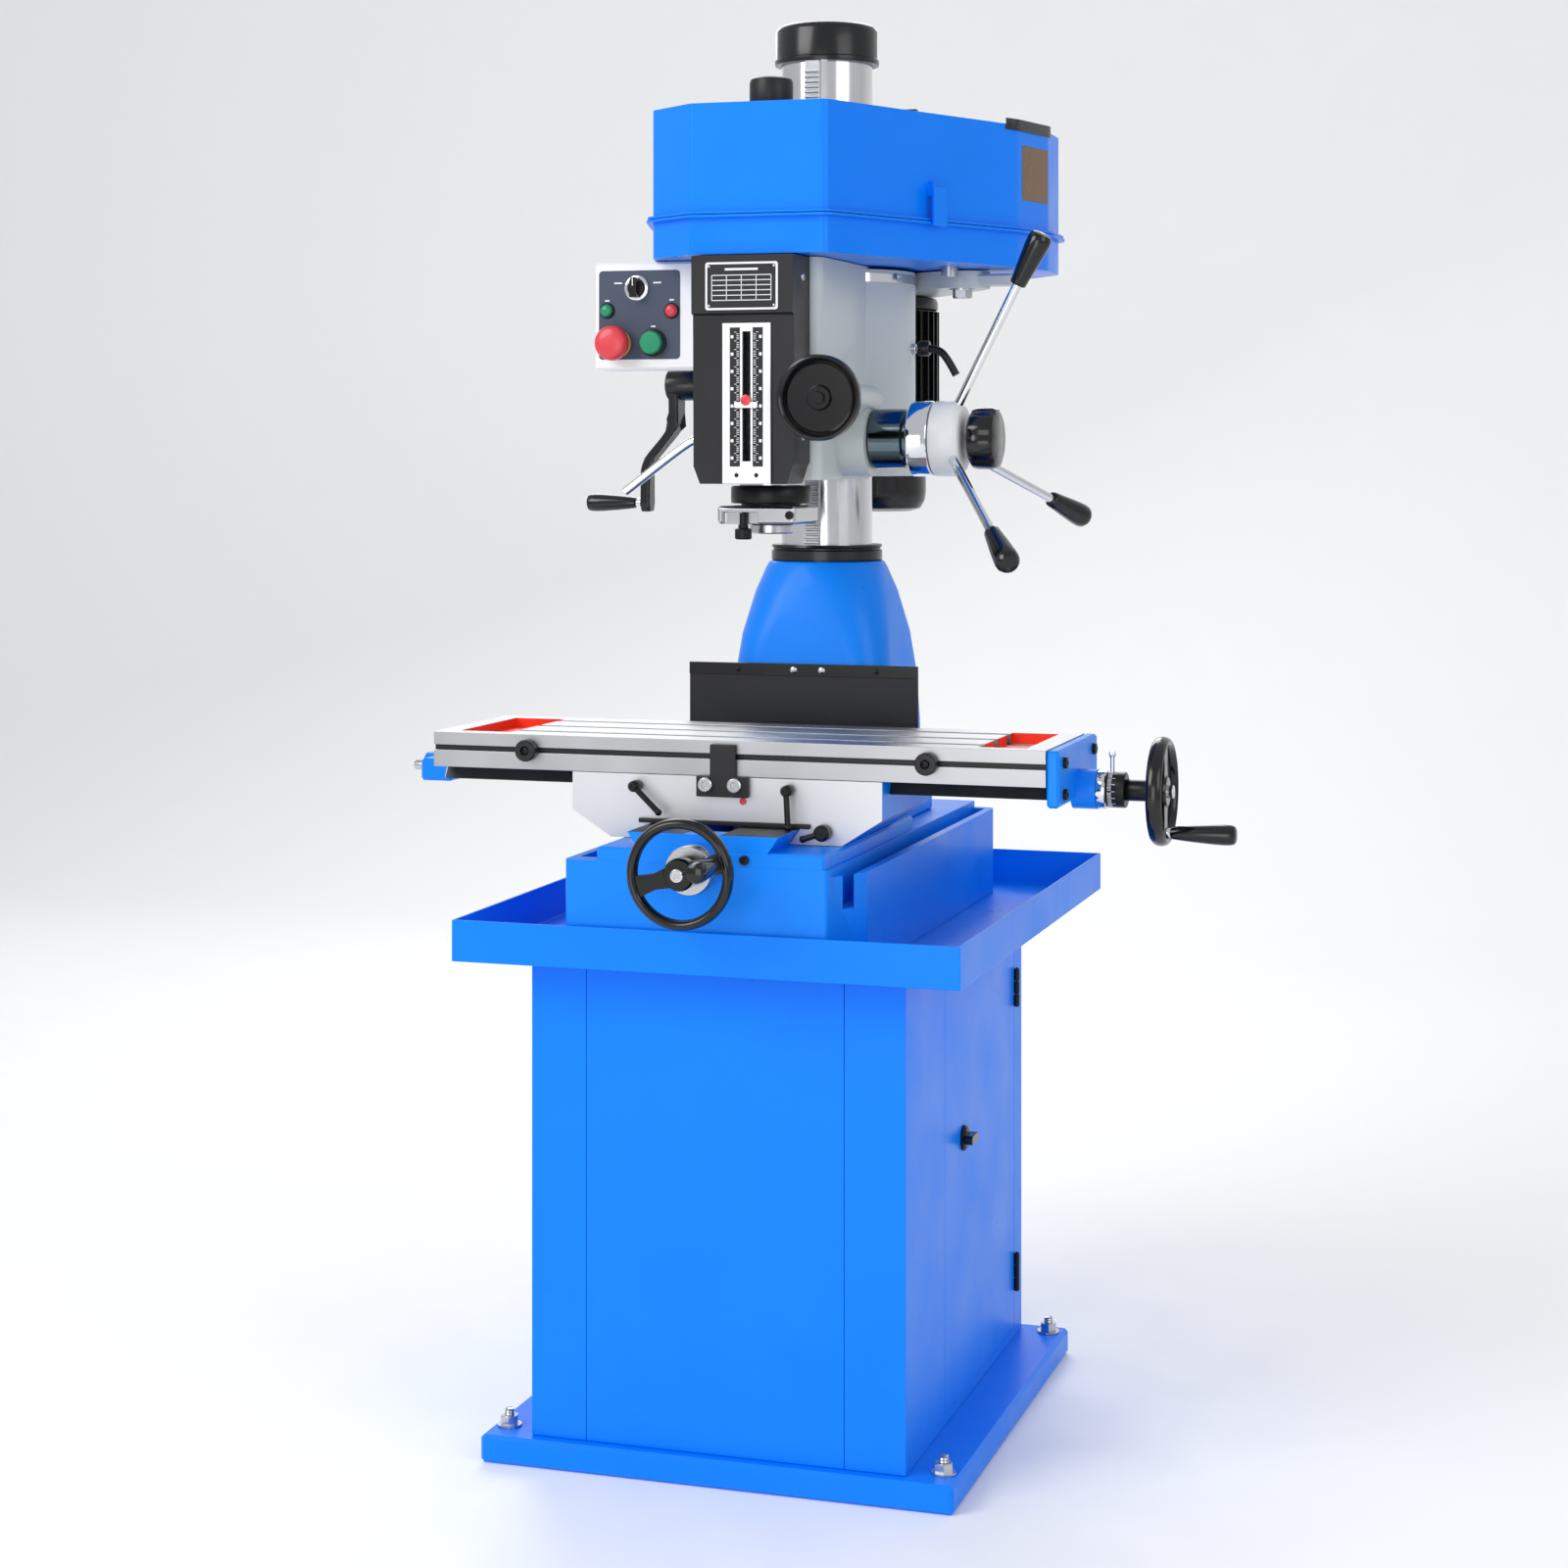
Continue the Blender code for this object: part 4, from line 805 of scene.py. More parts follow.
@dataclass
class Base(Assembly):
    """Base casting, column foot, column with rack, and chip guard."""

    column_y: float = 0.151
    column_r: float = 0.0575
    rack_pitch: float = 0.0063

    def build(self) -> None:
        """Makes every piece of the base and column."""
        make = self.maker
        make.refine("machine_base", CAST_BLUE, 2.5)
        make.refine("column_base", CAST_BLUE, 3.0, sharp=50)
        self._column()
        self._collar_and_cap()
        self._rack()
        self._guard()
        self._way_trim()

    def _column(self) -> None:
        """The ground tube."""
        low, high = heights("column")
        bore = self.column_r - 0.01
        tube = lathe([(bore, low), (self.column_r - 0.001, low), (self.column_r, low + 0.001),
                      (self.column_r, high - 0.001), (self.column_r - 0.001, high),
                      (bore, high)], (0, self.column_y, 0), sides=96)
        self.maker.piece("column_tube", tube, GROUND_TUBE, "stand", replaces=("column",))

    def _collar_and_cap(self) -> None:
        """Ring at the column's foot and cap on its top."""
        r = self.column_r + 0.0005
        low, high = heights("column_collar")
        collar = lathe([(r, low), (0.069, low), (0.07, low + 0.001),
                        (0.07, high - 0.0075), (0.0675, high - 0.006),
                        (0.0675, high - 0.0045), (0.07, high - 0.003),
                        (0.069, high), (r, high)], (0, self.column_y, 0), sides=96)
        self.maker.piece("column_ring", collar, BLACK_ENAMEL, "stand",
                         replaces=("column_collar",))
        low, high = heights("column_cap")
        cap = lathe([(r, low), (0.0655, low), (0.066, low + 0.003), (0.066, low + 0.006),
                     (0.064, low + 0.0075), (0.0645, high - 0.008), (0.062, high - 0.003),
                     (0.056, high), (0.02, high), (0.017, high - 0.001),
                     (0.017, high - 0.0034), (r, high - 0.0034)],
                    (0, self.column_y, 0), sides=96)
        plug = lathe([(0, high - 0.003), (0.0168, high - 0.003), (0.016, high - 0.0005),
                      (0, high - 0.0002)], (0, self.column_y, 0))
        self.maker.piece("column_end_cap", joined([cap, plug]), BLACK_ENAMEL, "stand",
                         replaces=("column_cap",))

    def _rack(self) -> None:
        """Teeth cut across the front of the rack bar."""
        low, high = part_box("column_rack")
        bar = block((low[0], high[0]), (low[1] + 0.004, high[1]), (low[2], high[2]))
        tooth = prism([(-0.0026, 0), (0.0026, 0), (0.0012, 0.0042), (-0.0012, 0.0042)],
                      low[0], high[0], axes_at((0, 0, 0), X_AXIS, Z_AXIS))
        count = int((high[2] - low[2] - 0.006) / self.rack_pitch)
        teeth = self.row.repeat(tooth, count, TURNED_STEEL, (0, 0, self.rack_pitch),
                                axes=Matrix.Translation((0, low[1] + 0.0042,
                                                         low[2] + 0.0035)))
        self.maker.piece("rack_with_teeth", joined([bar, teeth]), TURNED_STEEL, "rack",
                         replaces=("column_rack",))

    def _guard(self) -> None:
        """Flexible sheet, its clamp strip and four screws."""
        low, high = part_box("chip_guard")
        sheet = block((low[0], high[0]), (low[1] + 0.002, high[1]), (low[2], high[2]))
        strip = block((low[0], high[0]), (low[1] + 0.0005, low[1] + 0.0022),
                      (high[2] - 0.015, high[2]))
        self.maker.piece("guard_sheet", sheet, GUARD_BLACK, "stand", 0.6,
                         replaces=("chip_guard",))
        self.maker.piece("guard_strip", strip, BLACK_ENAMEL, "stand", 0.5)
        front = axes_at((0, low[1] + 0.0005, high[2] - 0.0075), -Y_AXIS, X_AXIS)
        for number, (x, radius, finish) in enumerate(
                ((-0.083, 0.0034, BLACK_OXIDE), (-0.011, 0.0046, TURNED_STEEL),
                 (0.025, 0.0046, TURNED_STEEL), (0.095, 0.0034, BLACK_OXIDE)), 1):
            screw = pan_screw(radius)
            screw.transform(Matrix.Translation((x, 0, 0)) @ front)
            self.maker.piece(f"guard_screw_{number}", screw, finish, "stand")

    def _way_trim(self) -> None:
        """Oiled dovetail way, plug in the base's front and the cross screw's bearing."""
        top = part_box("machine_base")[1][2]
        for number, (x0, x1) in enumerate(((-0.0875, -0.0215), (0.0215, 0.0875)), 1):
            strip = block((x0, x1), (-0.3265, 0.0425), (top - 0.0002, top + 0.0002))
            self.maker.piece(f"way_face_{number}", strip, OIL_AND_SHADE_IRON, "stand")
        plug = placed(socket_screw(0.0055, 0.003), (0.05, -0.3295, 0.7075), -Y_AXIS)
        self.maker.piece("base_plug", plug, BLACK_OXIDE, "stand")
        bearing = lathe([(0.0102, 0), (0.022, 0), (0.022, 0.0025), (0.02, 0.0035),
                         (0.0102, 0.0035)], (0, -0.3298, 0.6995), -Y_AXIS)
        self.maker.piece("cross_screw_bearing", bearing, CAST_BLUE, "stand")


# ------------------------------------------------------------------ saddle and table

@dataclass
class CrossSlide(Assembly):
    """Saddle with its locks, stop bracket, and the cross-feed screw and wheel."""

    wheel_at: tuple[float, float, float] = (0.0, -0.4, 0.6995)
    spoke_angle: float = 17.0

    def build(self) -> None:
        """Makes every piece of the cross slide."""
        self.maker.refine("saddle", MILLED_IRON, 1.0)
        self._painted_sides()
        self._stop_bracket()
        self._locks()
        self._screw_and_wheel()
        self._wiper()

    def _painted_sides(self) -> None:
        """Blue paint on the saddle's two ends."""
        low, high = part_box("saddle")
        flank = [(-0.185, 0.7885), (-0.185, 0.7465), (-0.1385, 0.7167)]
        for name, sign in (("left", 1), ("right", -1)):
            outline = [(sign * a, b) for a, b in flank]
            outline += [(sign * (a - 0.0004), b - 0.0002) for a, b in reversed(flank)]
            coat = prism(outline, low[1] + 0.0015, high[1] - 0.0015,
                         Matrix(((1, 0, 0, 0), (0, 0, 1, 0), (0, 1, 0, 0), (0, 0, 0, 1))))
            self.maker.piece(f"saddle_paint_{name}", coat, CAST_BLUE, "saddle")

    def _stop_bracket(self) -> None:
        """Black T-shaped bracket with two cap screws and a red mark."""
        self.maker.refine("saddle_stop_bracket", BLACK_PAINT, 1.2)
        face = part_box("saddle_stop_bracket")[0][1]
        for side, x in (("left", -0.0198), ("right", 0.0148)):
            screw = placed(socket_screw(0.0085, 0.0055), (x, face, 0.7805), -Y_AXIS)
            self.maker.piece(f"bracket_screw_{side}", screw, TURNED_STEEL, "saddle", 0.3)
        mark = lathe([(0, 0), (0.0042, 0), (0.0038, 0.0012), (0, 0.0016)],
                     (0.0218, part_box("saddle")[0][1] - 0.0002, 0.7622), -Y_AXIS)
        self.maker.piece("zero_mark", mark, RED_PLASTIC, "saddle")

    def _locks(self) -> None:
        """Three clamping levers with a hub, a round arm and a ball end."""
        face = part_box("saddle")[0][1]
        for node, pivot, tip, body in (
                ("table_lock_lever_left", (-0.1045, 0.7763), (-0.0735, 0.7483),
                 "table_lock_left"),
                ("table_lock_lever_right", (0.0775, 0.7772), (0.0806, 0.7366),
                 "table_lock_right"),
                ("saddle_lock_lever", (0.118, 0.731), (0.097, 0.724), "saddle_lock")):
            hub_r = 0.0092 if node == "saddle_lock_lever" else 0.0064
            reach = 0.016 if node == "saddle_lock_lever" else 0.02
            hub = lathe([(0, 0.0002), (hub_r * 0.8, 0.0002), (hub_r, 0.003),
                         (hub_r, reach - 0.003), (hub_r * 0.7, reach), (0, reach)],
                        (pivot[0], face, pivot[1]), -Y_AXIS, 32)
            arm = rod([(pivot[0], face - reach + 0.005, pivot[1]),
                       (tip[0], face - reach + 0.002, tip[1])], 0.0034)
            ball = bpy.data.meshes.new("shape")
            bm = bmesh.new()
            bmesh.ops.create_uvsphere(bm, u_segments=24, v_segments=16,
                                      radius=0.0041)
            bm.transform(Matrix.Translation((tip[0], face - reach + 0.002, tip[1])))
            bm.to_mesh(ball)
            bm.free()
            self.maker.piece(f"{node}_finished", joined([hub, arm, ball]), BLACK_OXIDE,
                             body, replaces=(node,))

    def _screw_and_wheel(self) -> None:
        """Screw with its thread, dial with graduations, handwheel and grip."""
        make = self.maker
        at = Vector(self.wheel_at)
        shaft = lathe([(0, -0.013), (0.0062, -0.013), (0.0074, -0.011), (0.0074, 0.02),
                       (0.009, 0.069), (0.009, 0.13), (0.0078, 0.132),
                       (0.0078, 0.41), (0, 0.41)], at, Y_AXIS)
        ridge = lathe([(0.0076, -0.0012), (0.009, -0.0005), (0.009, 0.0005),
                       (0.0076, 0.0012)], (0, 0, 0), Y_AXIS, 24)
        thread = self.row.repeat(ridge, 66, TURNED_STEEL, (0, 0.004, 0),
                                 axes=Matrix.Translation(at + Y_AXIS * 0.14))
        make.piece("cross_screw_thread", joined([shaft, thread]), TURNED_STEEL,
                   "cross_screw", replaces=("cross_feed_screw",))
        dial = lathe([(0.009, 0.0245), (0.0262, 0.0245), (0.0272, 0.026),
                      (0.0272, 0.044), (0.024, 0.0655), (0.009, 0.0655)], at, Y_AXIS, 72)
        make.piece("cross_dial", dial, TURNED_STEEL, "cross_screw")
        make.piece("cross_dial_marks", dial_marks(self.row, at, Y_AXIS, 0.0273, 0.03),
                   PRINT_BLACK, "cross_screw")
        angle = math.radians(self.spoke_angle)
        across = Vector((math.cos(angle), 0, math.sin(angle)))
        wheel = Wheel().mesh(axes_at(at, -Y_AXIS, across))
        make.piece("cross_wheel", wheel, BAKELITE, "cross_screw", 0.8,
                   replaces=("cross_feed_handwheel",))
        bolt = placed(socket_screw(0.0075, 0.006), at - Y_AXIS * 0.0075, -Y_AXIS)
        make.piece("cross_wheel_bolt", bolt, CHROME, "cross_screw", 0.3)
        add_crank_grip(make, "cross", at + across * 0.046, -Y_AXIS, 0.068, "cross_screw",
                       "cross_grip", "cross_feed_grip")

    def _wiper(self) -> None:
        """Black strip along the foot of the saddle's front, over the way."""
        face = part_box("saddle")[0][1]
        strip = block((-0.102, 0.102), (face - 0.006, face - 0.0003), (0.7342, 0.7395))
        self.maker.piece("way_wiper", strip, BLACK_PAINT, "saddle", 0.8)


def dial_marks(row: Row, at: Vector, along: Vector, radius: float,
               height: float) -> bpy.types.Mesh:
    """Graduations round a dial: a long mark every tenth division.

    Args:
        row: The repeating tree.
        at: Point on the dial's axis.
        along: The axis.
        radius: Radius of the dial's face.
        height: Where the marks start along the axis.

    Returns:
        The mesh.
    """
    marks = []
    for count, length in ((80, 0.0045), (16, 0.0085)):
        mark = block((radius - 0.0003, radius + 0.00008), (-0.00028, 0.00028),
                     (height, height + length))
        marks.append(row.repeat(mark, count, PRINT_BLACK, turn=(0, 0, 360 / count),
                                axes=axes_at(at, along)))
    return joined(marks)


def add_crank_grip(make: Maker, name: str, at: Vector, along: Vector, length: float,
                   arm_body: str, grip_body: str, node: str) -> None:
    """Adds a revolving grip, its end bolt, and the collar where it meets the wheel.

    Args:
        make: The maker.
        name: Start of the pieces' names.
        at: Centre of the grip's foot, in the middle of the rim.
        along: Direction of the grip.
        length: Length of the grip.
        arm_body: Body that the collar rides on.
        grip_body: Body that the grip rides on.
        node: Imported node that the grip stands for.
    """
    grip = placed(handle_grip(length, 0.0115), at + along * 0.0105, along)
    make.piece(f"{name}_handle", grip, BAKELITE, grip_body, replaces=(node,))
    end = lathe([(0, 0), (0.0042, 0), (0.0036, 0.001), (0, 0.0012)],
                at + along * (0.0103 + length - 0.0012), along, 24)
    make.piece(f"{name}_handle_end", end, CHROME, grip_body)
    collar = lathe([(0, 0), (0.0058, 0), (0.0058, 0.0055), (0.005, 0.007), (0, 0.007)],
                   at + along * 0.003, along, 24)
    make.piece(f"{name}_handle_collar", collar, CHROME, arm_body)


@dataclass
class Table(Assembly):
    """T-slot table, its brackets, stops, leadscrew and handwheel."""

    wheel_x: float = 0.48
    screw_z: float = 0.778
    slot_pitch: float = 0.063
    wall_right: float = 0.3855

    def build(self) -> None:
        """Makes every piece of the table."""
        low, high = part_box("table")
        self.middle = (low[1] + high[1]) / 2
        self.maker.refine("table", GROUND_IRON, 0.6)
        self._pockets(high[2])
        self._groove(low, high)
        self._brackets()
        self._stops()
        self._screw_and_wheel()

    def _pockets(self, top: float) -> None:
        """Red enamel in the two coolant pockets."""
        def slots() -> list[bpy.types.Mesh]:
            """Shapes that clear the three T-slots."""
            return [block((-0.3, 0.318), (y - 0.0119, y + 0.0119), (0.7, 1.0))
                    for y in (self.middle - self.slot_pitch, self.middle,
                              self.middle + self.slot_pitch)]

        y = (-0.232, -0.062)
        for name, x0, x1 in (("left", -0.335, -0.27), ("right", 0.29, 0.345)):
            floor = block((x0, x1), y, (top - 0.012, top - 0.0114))
            walls = block((x0, x1), y, (top - 0.012, top - 0.0004))
            inner = block((x0 + 0.0006, x1 - 0.0006), (-0.2314, -0.0626), (0.7, 1.0))
            paint = carve(walls, [inner] + slots())
            self.maker.piece(f"pocket_paint_{name}", joined([carve(floor, slots()), paint]),
                             POCKET_RED, "table")

    def _groove(self, low: Vector, high: Vector) -> None:
        """Painted shade: a black strip in the stop groove and dark iron on the dovetail under
        the table.
        """
        # Black strip at the back of the stop groove: painted shade in the recess.
        strip = block((low[0] + 0.0004, high[0] - 0.0004), (low[1] + 0.004, low[1] + 0.0047),
                      (0.8092, 0.8148))
        self.maker.piece("groove_painted_shade", strip, BLACK_PAINT, "table")
        # Dark strip on the dovetail's front under the table: painted shade where the table
        # shadows it.
        y0, y1, z0, z1 = -0.2209, -0.2111, 0.7726, 0.7893
        face = prism([(y0, z0), (y1, z1), (y1 + 0.0006, z1), (y0 + 0.0006, z0)],
                     low[0] + 0.001, high[0] - 0.001, axes_at((0, 0, 0), X_AXIS, Y_AXIS))
        self.maker.piece("dovetail_painted_shade", face, OIL_AND_SHADE_IRON, "table")

    def _brackets(self) -> None:
        """End brackets, their screws, and the bearing ring beside the right dial."""
        make = self.maker
        make.refine("table_bracket_right", CAST_BLUE, 2.0)
        make.refine("table_bracket_left", CAST_BLUE, 2.0)
        for number, (y, z) in enumerate(((-0.225, 0.815), (-0.066, 0.815),
                                         (-0.225, 0.78), (-0.066, 0.78)), 1):
            screw = placed(socket_screw(0.0065, 0.0045), (self.wall_right, y, z), X_AXIS)
            make.piece(f"bracket_bolt_{number}", screw, BLACK_OXIDE, "table", 0.3)
        ring = lathe([(0.0092, 0.4085), (0.0215, 0.4085), (0.022, 0.4098),
                      (0.022, 0.418), (0.021, 0.4188), (0.0092, 0.4188)],
                     (0, self.middle, self.screw_z), X_AXIS)
        make.piece("bearing_ring", ring, CHROME, "table_screw")

    def _stops(self) -> None:
        """Two sliding stops, each a disc with a cross screw and a foot."""
        for side in ("left", "right"):
            node = f"table_stop_{side}"
            low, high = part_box(node)
            x = (low[0] + high[0]) / 2
            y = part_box("table")[0][1]
            disc = lathe([(0, 0.0004), (0.0118, 0.0004), (0.0125, 0.0014),
                          (0.0125, 0.011), (0.0112, 0.0124), (0.0056, 0.0126),
                          (0.005, 0.009), (0, 0.009)], (x, y, 0.812), -Y_AXIS)
            self.maker.piece(f"{node}_finished", disc, BLACK_PAINT, self.maker.bodies[node],
                             replaces=(node,))
            screw = placed(pan_screw(0.0046), (x, y - 0.009, 0.812), -Y_AXIS)
            self.maker.piece(f"{node}_screw", screw, BLACK_OXIDE, self.maker.bodies[node])
            foot = block((x - 0.011, x + 0.011), (y + 0.0008, y + 0.0034), (0.8098, 0.8142))
            neck = block((x - 0.003, x + 0.003), (y - 0.001, y + 0.001),
                         (0.8098, 0.8142))
            self.maker.piece(f"{node}_foot", joined([foot, neck]), TURNED_STEEL,
                             self.maker.bodies[node])

    def _screw_and_wheel(self) -> None:
        """Leadscrew with its thread, dial, lock, handwheel and grip."""
        make = self.maker
        at = Vector((self.wheel_x, self.middle, self.screw_z))
        shaft = lathe([(0, -0.911), (0.005, -0.911), (0.006, -0.909), (0.006, -0.895),
                       (0.0066, -0.893), (0.0066, -0.1), (0.0078, -0.098),
                       (0.0078, -0.072), (0.0074, -0.04), (0.0074, 0.011),
                       (0.0062, 0.013), (0, 0.013)], at, X_AXIS)
        ridge = lathe([(0.0064, -0.0012), (0.0077, -0.0005), (0.0077, 0.0005),
                       (0.0064, 0.0012)], (0, 0, 0), X_AXIS, 20)
        thread = self.row.repeat(ridge, 190, TURNED_STEEL, (0.004, 0, 0),
                                 axes=Matrix.Translation(at - X_AXIS * 0.87))
        make.piece("leadscrew_thread", joined([shaft, thread]), TURNED_STEEL,
                   "table_screw", replaces=("table_leadscrew",))
        dial = lathe([(0.0078, -0.06), (0.0195, -0.06), (0.02, -0.0592),
                      (0.02, -0.041), (0.0192, -0.04), (0.0078, -0.04)], at,
                     X_AXIS, 72)
        make.piece("table_dial", dial, BLACK_OXIDE, "table_screw")
        marks = dial_marks(self.row, at, X_AXIS, 0.0201, -0.0585)
        make.piece("table_dial_marks", marks, SCALE_WHITE, "table_screw")
        sleeve = lathe([(0.0076, -0.0398), (0.0115, -0.0398), (0.012, -0.039),
                        (0.012, -0.0135), (0.0076, -0.0125)], at, X_AXIS)
        make.piece("wheel_sleeve", sleeve, BLACK_OXIDE, "table_screw")
        lock = rod([at + Vector((-0.056, 0, 0.019)), at + Vector((-0.056, 0, 0.04))],
                   0.0024)
        ball = lathe([(0, 0.036), (0.003, 0.0365), (0.0042, 0.0395), (0.003, 0.043),
                      (0, 0.0438)], at + Vector((-0.056, 0, 0)), Z_AXIS, 20)
        make.piece("dial_lock", joined([lock, ball]), CHROME, "table_screw")
        wheel = Wheel().mesh(axes_at(at, X_AXIS, -Z_AXIS))
        make.piece("table_wheel", wheel, BAKELITE, "table_screw", 0.8,
                   replaces=("table_handwheel",))
        bolt = placed(socket_screw(0.0075, 0.006), at + X_AXIS * 0.0075, X_AXIS)
        make.piece("table_wheel_bolt", bolt, CHROME, "table_screw", 0.3)
        add_crank_grip(make, "table", at - Z_AXIS * 0.046, X_AXIS, 0.0725, "table_screw",
                       "table_grip", "table_grip")


# ------------------------------------------------------------------ head

@dataclass
class Head(Assembly):
    """Head casting with its cover, scale, clamps, crank and electric box."""

    spindle_y: float = -0.078
    column_y: float = 0.151
    slot_x: float = 0.0045
    scale_front: float = -0.1845
    crank: tuple[float, float, float] = (-0.1877, 0.151, 1.2426)
    clamp: tuple[float, float] = (0.2, 1.288)
    selector: tuple[float, float] = (-0.166, 1.354)
    estop: tuple[float, float] = (-0.191, 1.2874)
    start: tuple[float, float] = (-0.145, 1.288)

    def build(self) -> None:
        """Makes every piece of the head."""
        self.maker.refine("head_casting", CAST_GREY, 2.0)
        ring = lathe([(0.06, 1.372), (0.0715, 1.372), (0.0715, 1.3852), (0.06, 1.3852)],
                     (0, self.column_y, 0))
        self.maker.piece("column_bearing_ring", ring, CHROME, "head")
        band = lathe([(0.1116, 1.366), (0.1126, 1.3665), (0.1126, 1.3775),
                      (0.1116, 1.378)], (0, self.column_y, 0), sides=96)
        self.maker.piece("clamp_band", band, CHROME, "head")
        self._front_cover()
        self._name_plate()
        self._scale()
        self._quill()
        self._electric_box()
        self._clamps()
        self._crank()

    def _front_cover(self) -> None:
        """Black cover and the screws on its flank."""
        self.maker.refine("head_front_cover", BLACK_PAINT, 1.8)
        for number, (y, z) in enumerate(((-0.15, 1.36), (-0.15, 1.175)), 1):
            screw = placed(pan_screw(0.0052), (0.0613, y, z), X_AXIS)
            self.maker.piece(f"cover_screw_{number}", screw, TURNED_STEEL, "head")

    def _name_plate(self) -> None:
        """Riveted plate with a plain table and no words."""
        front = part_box("head_front_cover")[0][1]
        axes = axes_at((0, front, 1.3482), -Y_AXIS, X_AXIS)
        plate = prism(rounded_box_outline(0.044, 0.0276, 0.003), -0.0004, 0.0008, axes)
        self.maker.piece("name_plate", plate, SCALE_WHITE, "head", 0.2)
        panel = prism(rounded_box_outline(0.0415, 0.0252, 0.0022), 0.0006, 0.001, axes)
        self.maker.piece("name_plate_field", panel, PRINT_BLACK, "head")
        bar = block((-0.036, 0.036), (-0.00045, 0.00045), (0.0009, 0.00115))
        bars = self.row.repeat(bar, 6, SCALE_WHITE, (0, 0.0058, 0),
                               axes=axes @ Matrix.Translation((0, -0.0165, 0)))
        post = block((-0.0004, 0.0004), (-0.0165, 0.0125), (0.0009, 0.00115))
        posts = self.row.repeat(post, 5, SCALE_WHITE, (0.018, 0, 0),
                                axes=axes @ Matrix.Translation((-0.036, 0, 0)))
        title = block((-0.02, 0.02), (0.018, 0.0205), (0.0009, 0.00115))
        title.transform(axes)
        self.maker.piece("name_plate_table", joined([bars, posts, title]), SCALE_WHITE,
                         "head")
        for number, (a, b) in enumerate(((-1, -1), (1, -1), (1, 1), (-1, 1)), 1):
            rivet = pan_screw(0.0016)
            rivet.transform(axes @ Matrix.Translation((a * 0.0395, b * 0.0228, 0.001)))
            self.maker.piece(f"plate_rivet_{number}", rivet, TURNED_STEEL, "head")

    def _scale(self) -> None:
        """White depth scale with graduations either side of its slot, and the pointer."""
        make = self.maker
        front = self.scale_front
        axes = axes_at((self.slot_x, front, 0), -Y_AXIS, X_AXIS)
        slot = [block((self.slot_x - 0.005, self.slot_x + 0.005), (-0.3, 0.1),
                      (1.146, 1.296))]
        plate = carve(block((-0.0247, 0.0336), (front - 0.0016, front + 0.0004),
                            (1.1202, 1.3056)), slot)
        make.piece("scale_plate", plate, SCALE_WHITE, "head", 0.3)
        for side in (-1, 1):
            a0, a1 = sorted((side * 0.0078, side * 0.02))
            band = block((a0, a1), (1.14, 1.3005), (0.0015, 0.0019))
            band.transform(axes)
            make.piece(f"scale_band_{'left' if side < 0 else 'right'}", band, PRINT_BLACK,
                       "head")
            marks = []
            for every, length in ((0.002, 0.003), (0.01, 0.0058)):
                b0, b1 = sorted((side * 0.0088, side * (0.0088 + length)))
                mark = block((b0, b1), (-0.0003, 0.0003), (0.0018, 0.00215))
                marks.append(self.row.repeat(
                    mark, int(0.15 / every) + 1, SCALE_WHITE, (0, every, 0),
                    axes=axes @ Matrix.Translation((0, 1.145, 0))))
            for i in range(8):
                digit = block((side * 0.0172 - 0.0016, side * 0.0172 + 0.0016),
                              (1.148 + 0.02 * i, 1.1515 + 0.02 * i), (0.0018, 0.00215))
                digit.transform(axes)
                marks.append(digit)
            make.piece(f"scale_marks_{'left' if side < 0 else 'right'}", joined(marks),
                       SCALE_WHITE, "head")
        for number, (a, z) in enumerate(((-0.0075, 1.13), (0.0165, 1.13)), 1):
            screw = placed(pan_screw(0.0026), (a, front - 0.0014, z), -Y_AXIS)
            make.piece(f"scale_screw_{number}", screw, BLACK_OXIDE, "head")
        bar = prism(rounded_box_outline(0.014, 0.0034, 0.0012), 0.0022, 0.0042,
                    axes @ Matrix.Translation((0, 1.211, 0)))
        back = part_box("depth_pointer")[1][1]
        stem = block((self.slot_x - 0.003, self.slot_x + 0.003), (-0.1865, back),
                     (1.2105, 1.2205))
        make.piece("pointer_bar", joined([bar, stem]), SCALE_WHITE, "pointer", 0.3,
                   replaces=("depth_pointer",))
        disc = lathe([(0, 0.0022), (0.0062, 0.0022), (0.0062, 0.0046), (0.005, 0.005),
                      (0, 0.005)], (self.slot_x, front, 1.2165), -Y_AXIS)
        make.piece("pointer_disc", disc, RED_PLASTIC, "pointer")

    def _quill(self) -> None:
        """Quill with its collar, spindle nose, depth clamp, depth rod and its knob."""
        make = self.maker
        axis = (0, self.spindle_y, 0)
        quill = lathe([(0.0205, 1.0715), (0.035, 1.0715), (0.036, 1.073),
                       (0.036, 1.0955), (0.047, 1.096), (0.048, 1.0975),
                       (0.048, 1.114), (0.0465, 1.1165), (0.0375, 1.117),
                       (0.0375, 1.359), (0.0365, 1.36), (0.0205, 1.36)], axis,
                      sides=72)
        make.piece("quill_body", quill, BLACK_OXIDE, "quill", replaces=("quill",))
        skin = lathe([(0.03752, 1.1175), (0.0377, 1.1176), (0.0377, 1.358),
                      (0.03752, 1.3585)], axis, sides=72)
        make.piece("quill_ground_face", skin, GROUND_TUBE, "quill")
        spindle = lathe([(0, 1.13), (0.0095, 1.13), (0.014, 1.06), (0.0245, 1.06),
                         (0.026, 1.0615), (0.026, 1.07),
                         (0.02, 1.0711), (0.02, 1.36), (0.011, 1.362),
                         (0.011, 1.537), (0, 1.537)], axis)
        make.piece("spindle_body", spindle, TURNED_STEEL, "spindle", replaces=("spindle",))
        make.refine("depth_clamp", TURNED_STEEL, 1.0)
        rod_x, rod_y = -0.0195, -0.125
        knob = lathe([(0, 1.054), (0.0085, 1.054), (0.01, 1.0555), (0.01, 1.066),
                      (0.006, 1.0675), (0.006, 1.0715), (0.0045, 1.0718),
                      (0.0045, 1.085), (0, 1.085)], (rod_x, rod_y, 0))
        make.piece("depth_rod_knob", knob, BLACK_OXIDE, "quill", 0.2)
        clamp_screw = placed(socket_screw(0.005, 0.004), (0.04, -0.132, 1.0828), -Y_AXIS)
